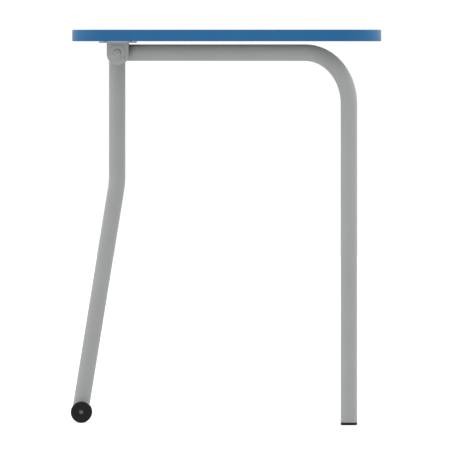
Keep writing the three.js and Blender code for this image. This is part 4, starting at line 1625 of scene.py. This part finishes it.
@dataclass
class WheelSet:
    """Twin wheels on one axle through the carrier in the front leg."""

    axle_radius: float = 4 * MM
    axle_dome: float = 1.2 * MM
    boss_radius: float = 13 * MM
    stem_length: float = 34 * MM
    stem_root: float = -8 * MM
    flange_thickness: float = 3 * MM
    hub_radius: float = 15 * MM
    rim_width: float = 2.2 * MM
    web_setback: float = 3 * MM
    hub_boss: float = 8.5 * MM
    dish_depth: float = 2 * MM
    bush_radius: float = 6 * MM
    fit_gap: float = 0.02 * MM
    tyre_shoulder: float = 3.2 * MM
    groove_depth: float = 0.5 * MM
    groove_offset: float = 3.5 * MM
    rib_count: int = 8
    rib_half_width: float = 0.7 * MM
    rib_root: float = 8.3 * MM
    rib_end_gap: float = 2 * MM
    rib_low: float = 0.6 * MM
    rib_high: float = 3.4 * MM
    rib_edge: float = 0.15 * MM
    ring_edge: float = 0.25 * MM
    beyond: float = 40 * MM
    spacer_radius: float = 8 * MM
    retainer_radius: float = 6.5 * MM

    def along(self, y: float, way: Vector = ALONG_Y) -> Matrix:
        """A place on the axle at a given Y."""
        return on_axis(middle("wheel_axle"), y, way)

    def axle(self, shop: Shop) -> None:
        """The axle with domed ends.

        Args:
            shop: where the pieces are dressed and mounted.
        """
        low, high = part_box("wheel_axle")
        length, dome = high.y - low.y, self.axle_dome
        bar = [(0.0, 0.0), (self.axle_radius, dome), (self.axle_radius, dome), (0.0, 0.0)]
        corners = [(reach, y, ease) for (reach, ease), y in zip(bar, (0.0, 0.0, length, length))]
        piece = turned("axle_pin", rounded(corners, 6, False), self.along(low.y), 48)
        shop.fit(piece, Body.FRAME, "drawn_steel", "wheel_axle")

    def carrier(self, shop: Shop) -> None:
        """The moulded plug in the leg: a leaning stem and flange, and a boss round the axle.

        Args:
            shop: where the pieces are dressed and mounted.
        """
        low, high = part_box("wheel_carrier")
        leg, boss, root, top = TubeFrame(), self.boss_radius, self.stem_root, self.stem_length
        place, up = facing(*leg.leg_end()), self.along(0.0)
        bore, neck, under = leg.radius - leg.wall - GAP, boss - MM, -GAP - self.flange_thickness
        body = turned("carrier_boss", rounded([
            (0.0, low.y, 0.0), (boss, low.y, FULL), (boss, high.y, FULL), (0.0, high.y, 0.0),
        ], closed=False), up, 72)
        stem = turned("carrier_stem", rounded([
            (0.0, root, 0.0), (neck, root, BLUNT), (neck, under, SOFT), (leg.radius, under, FULL),
            (leg.radius, -GAP, FINE), (bore, -GAP, FINE), (bore, top, 1.0 * MM), (0.0, top, 0.0),
        ], closed=False), place, 72)
        cutters = []
        for name, radius, start, end, where, segments in (
            ("above_flange", 2 * leg.radius, -GAP, self.beyond, place, 32),
            ("axle_hole", self.axle_radius + 0.15 * MM, -self.beyond, self.beyond, up, 48),
        ):
            bar = [(0.0, start), (radius, start), (radius, end), (0.0, end)]
            cutters.append(turned(name, bar, where, segments))
        trimmed = merged("carrier_boss_trimmed", body, cutters[:1], take=True)
        piece = merged("leg_end_carrier", merged("carrier_joined", trimmed, [stem]), cutters[1:], take=True)
        shop.fit(piece, Body.FRAME, "black_plastic", "wheel_carrier")

    def wheel(self, shop: Shop, side: Side) -> None:
        """One wheel: dished hub with ribs behind, grooved tyre and bush.

        Args:
            shop: where the pieces are dressed and mounted.
            side: the user's hand on whose side it stands.
        """
        body = Body.WHEEL_LEFT if side is Side.LEFT else Body.WHEEL_RIGHT
        word, place = side.word, self.along(0.0, side.out)
        inner, outer = self.span(f"wheel_hub_{word}")
        bore, boss, rim = self.bush_radius + self.fit_gap, self.hub_boss, self.hub_radius
        lip, web, dish = rim - self.rim_width, inner + self.web_setback, outer - self.dish_depth
        hub = turned(f"hub_{word}", rounded([
            (bore, inner, EASE), (boss, inner, SOFT), (boss, web, 0.6 * MM), (lip, web, 0.6 * MM),
            (lip, inner, SOFT), (rim, inner, EASE), (rim, outer, SOFT), (lip, outer, BLUNT),
            (lip - 1.2 * MM, dish, FULL), (boss - EASE, dish, FULL),
            (boss - 0.9 * MM, dish + 1.0 * MM, SOFT), (bore, dish + 1.0 * MM, EASE),
        ]), place, 96, True)
        shop.fit(hub, body, "black_plastic", f"wheel_hub_{word}")
        self.ribs(shop, side, inner, body)
        node = f"wheel_tyre_{word}"
        (inner, outer), tread, seat = self.span(node), half_width(node), rim + self.fit_gap
        corners = [(seat, inner, EASE), (tread, inner, self.tyre_shoulder)]
        for offset in (-self.groove_offset, self.groove_offset):
            for shift, depth in ((-0.6, 0.0), (-0.3, 1.0), (0.3, 1.0), (0.6, 0.0)):
                height = (inner + outer) / 2 + offset + shift * MM
                corners.append((tread - depth * self.groove_depth, height, 0.1 * MM))
        corners += [(tread, outer, self.tyre_shoulder), (seat, outer, EASE)]
        shop.fit(turned(f"tyre_{word}", rounded(corners, 5), place, 96, True), body, "black_rubber", node)
        shop.ring(f"hub_bush_{word}", f"wheel_bush_{word}", body, "pale_nylon",
                  self.bush_radius, self.axle_radius + FINE, EASE, 48, side.out)

    def ribs(self, shop: Shop, side: Side, inner: float, body: Body) -> None:
        """Moulded ribs on the hub's inner face, as copies of one.

        Args:
            shop: where the pieces are dressed and mounted.
            side: the user's hand on whose side it stands.
            inner: the hub's inner face, as a distance from the middle plane.
            body: the body that they move with.
        """
        root, tip, half = self.rib_root, self.hub_radius - self.rib_end_gap, self.rib_half_width
        line = rounded([(root, -half, 0.0), (tip, -half, 0.0), (tip, half, 0.0), (root, half, 0.0)])
        part = plate("rib_pattern", line, [], inner + self.rib_low, inner + self.rib_high, self.rib_edge)
        place = self.along(0.0, side.out)
        spins = [place @ Matrix.Rotation(TURN * i / self.rib_count, 4, "Z") for i in range(self.rib_count)]
        places = [(place.translation, Vector(spin.to_euler())) for spin in spins]
        shop.copied(f"hub_ribs_{side.word}", part, places, body, "black_plastic")

    @staticmethod
    def span(node: str) -> Tuple[float, float]:
        """A wheel piece's distances from the middle plane, inner face first."""
        low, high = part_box(node)
        return min(abs(low.y), abs(high.y)), max(abs(low.y), abs(high.y))

    def small_rings(self, shop: Shop, side: Side) -> None:
        """One side's spacer and retaining ring.

        Args:
            shop: where the pieces are dressed and mounted.
            side: the user's hand on whose side it stands.
        """
        for node, name, slot, radius in (
            (f"wheel_spacer_{side.word}", f"spacer_{side.word}", "pale_nylon", self.spacer_radius),
            (f"axle_retainer_{side.word}", f"push_on_ring_{side.word}", "black_plastic",
             self.retainer_radius),
        ):
            shop.ring(name, node, Body.FRAME, slot,
                      radius, self.axle_radius + 0.1 * MM, self.ring_edge, 56, side.out)

    def build(self, shop: Shop) -> None:
        """Makes the carrier, the axle and both wheels.

        Args:
            shop: where the pieces are dressed and mounted.
        """
        self.carrier(shop)
        self.axle(shop)
        for side in Side:
            self.wheel(shop, side)
            self.small_rings(shop, side)


# ------------------------------------------------------------------ studio


@dataclass
class Studio:
    """Pale floor, soft light that is dimmer on the viewer's side, and the camera."""

    lens: float = 1600.0
    sensor: float = 36.0
    view_width: float = 0.8742
    view_height: float = 0.3802
    floor_size: float = 60.0
    strength: float = 1.12
    side_rate: float = -0.06
    front_rate: float = 0.46
    corner_rate: float = 0.8
    floor_bounce: float = 0.58
    floor_glow: float = 0.12
    seen_white: float = 1.05
    seen_albedo: float = 0.9
    seen_glow: float = 0.3
    floor_drop: float = 0.2 * MM

    @staticmethod
    def lit_or_seen(graph: Graph, shades: Sequence[Node], output: str) -> None:
        """Ends a tree with one shade for the light it gives and another where it is looked at.

        Args:
            graph: the graph that is being built.
            shades: the shade for light, then the shade for the camera.
            output: the output node's type.
        """
        seen = graph.add("ShaderNodeLightPath").outputs["Is Camera Ray"]
        both = graph.add("ShaderNodeMixShader", {0: seen, 1: shades[0].outputs[0], 2: shades[1].outputs[0]})
        graph.add(output, {"Surface": both.outputs[0]})

    def camera(self) -> None:
        """A long lens level with the underside of the top, square to the desk's side."""
        data = bpy.data.cameras.new("side_camera")
        data.lens = self.lens
        data.sensor_width = self.sensor
        distance = self.view_width * self.lens / self.sensor
        data.clip_start = 0.1
        data.clip_end = 3 * distance
        camera = bpy.data.objects.new("side_camera", data)
        bpy.context.scene.collection.objects.link(camera)
        eye = Vector((middle("rear_glide_left").x, -distance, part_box("top_edge_band")[0].z))
        aim = Vector((0.0, 0.0, self.view_height))
        camera.location = eye
        camera.rotation_euler = (aim - eye).to_track_quat("-Z", "Y").to_euler()
        bpy.context.scene.camera = camera

    def world(self) -> None:
        """A white surround whose light changes slowly with direction."""
        world = bpy.data.worlds.new("studio")
        bpy.context.scene.world = world
        graph = blank_graph(world)
        way = graph.add("ShaderNodeSeparateXYZ", {0: graph.add("ShaderNodeTexCoord").outputs["Generated"]})
        behind = graph.math("MAXIMUM", way.outputs["Y"], 0.0)
        corner = graph.math("MULTIPLY", way.outputs["X"], behind)
        level: object = self.strength
        slopes = [(way.outputs["X"], self.side_rate), (way.outputs["Y"], self.front_rate),
                  (corner, self.corner_rate)]
        for slope, rate in slopes:
            level = graph.math("ADD", graph.math("MULTIPLY", slope, rate), level)
        shades = [graph.add("ShaderNodeBackground", {"Color": WHITE, "Strength": strength})
                  for strength in (level, self.seen_white)]
        self.lit_or_seen(graph, shades, "ShaderNodeOutputWorld")

    def floor(self) -> None:
        """A wide pale floor: white where it is seen, greyer in the light that it gives back."""
        half = self.floor_size / 2
        corners = [(-half, -half), (half, -half), (half, half), (-half, half)]
        points = [Vector((x, y, -self.floor_drop)) for x, y in corners]
        piece = mesh_from("studio_floor", points, [(0, 1, 2, 3)])
        material = bpy.data.materials.new("pale_floor")
        graph = blank_graph(material)
        shades = []
        for albedo, strength in ((self.floor_bounce, self.floor_glow), (self.seen_albedo, self.seen_glow)):
            paint = graph.add("ShaderNodeBsdfDiffuse", {"Color": (albedo, albedo, albedo, 1.0)})
            glow = graph.add("ShaderNodeEmission", {"Color": WHITE, "Strength": strength})
            shades.append(graph.add("ShaderNodeAddShader", {0: paint.outputs[0], 1: glow.outputs[0]}))
        self.lit_or_seen(graph, shades, "ShaderNodeOutputMaterial")
        piece.data.materials.append(material)

    def build(self) -> None:
        """Makes the studio."""
        bpy.context.scene.view_settings.view_transform = "Standard"
        self.camera()
        self.world()
        self.floor()


def main() -> None:
    """Builds the desk in order: studio, finishes, top, bracket, knob, frame, feet and wheels."""
    logging.basicConfig(level=logging.INFO, format="%(name)s: %(message)s")
    Studio().build()
    finishes = Finishes()
    finishes.dress_nodes()
    shop = Shop(finishes)
    for assembly in (TableTop(), HingeBracket(), ClampKnob(), TubeFrame(), RearFeet(), WheelSet()):
        assembly.build(shop)


if __name__ == "__main__":
    main()
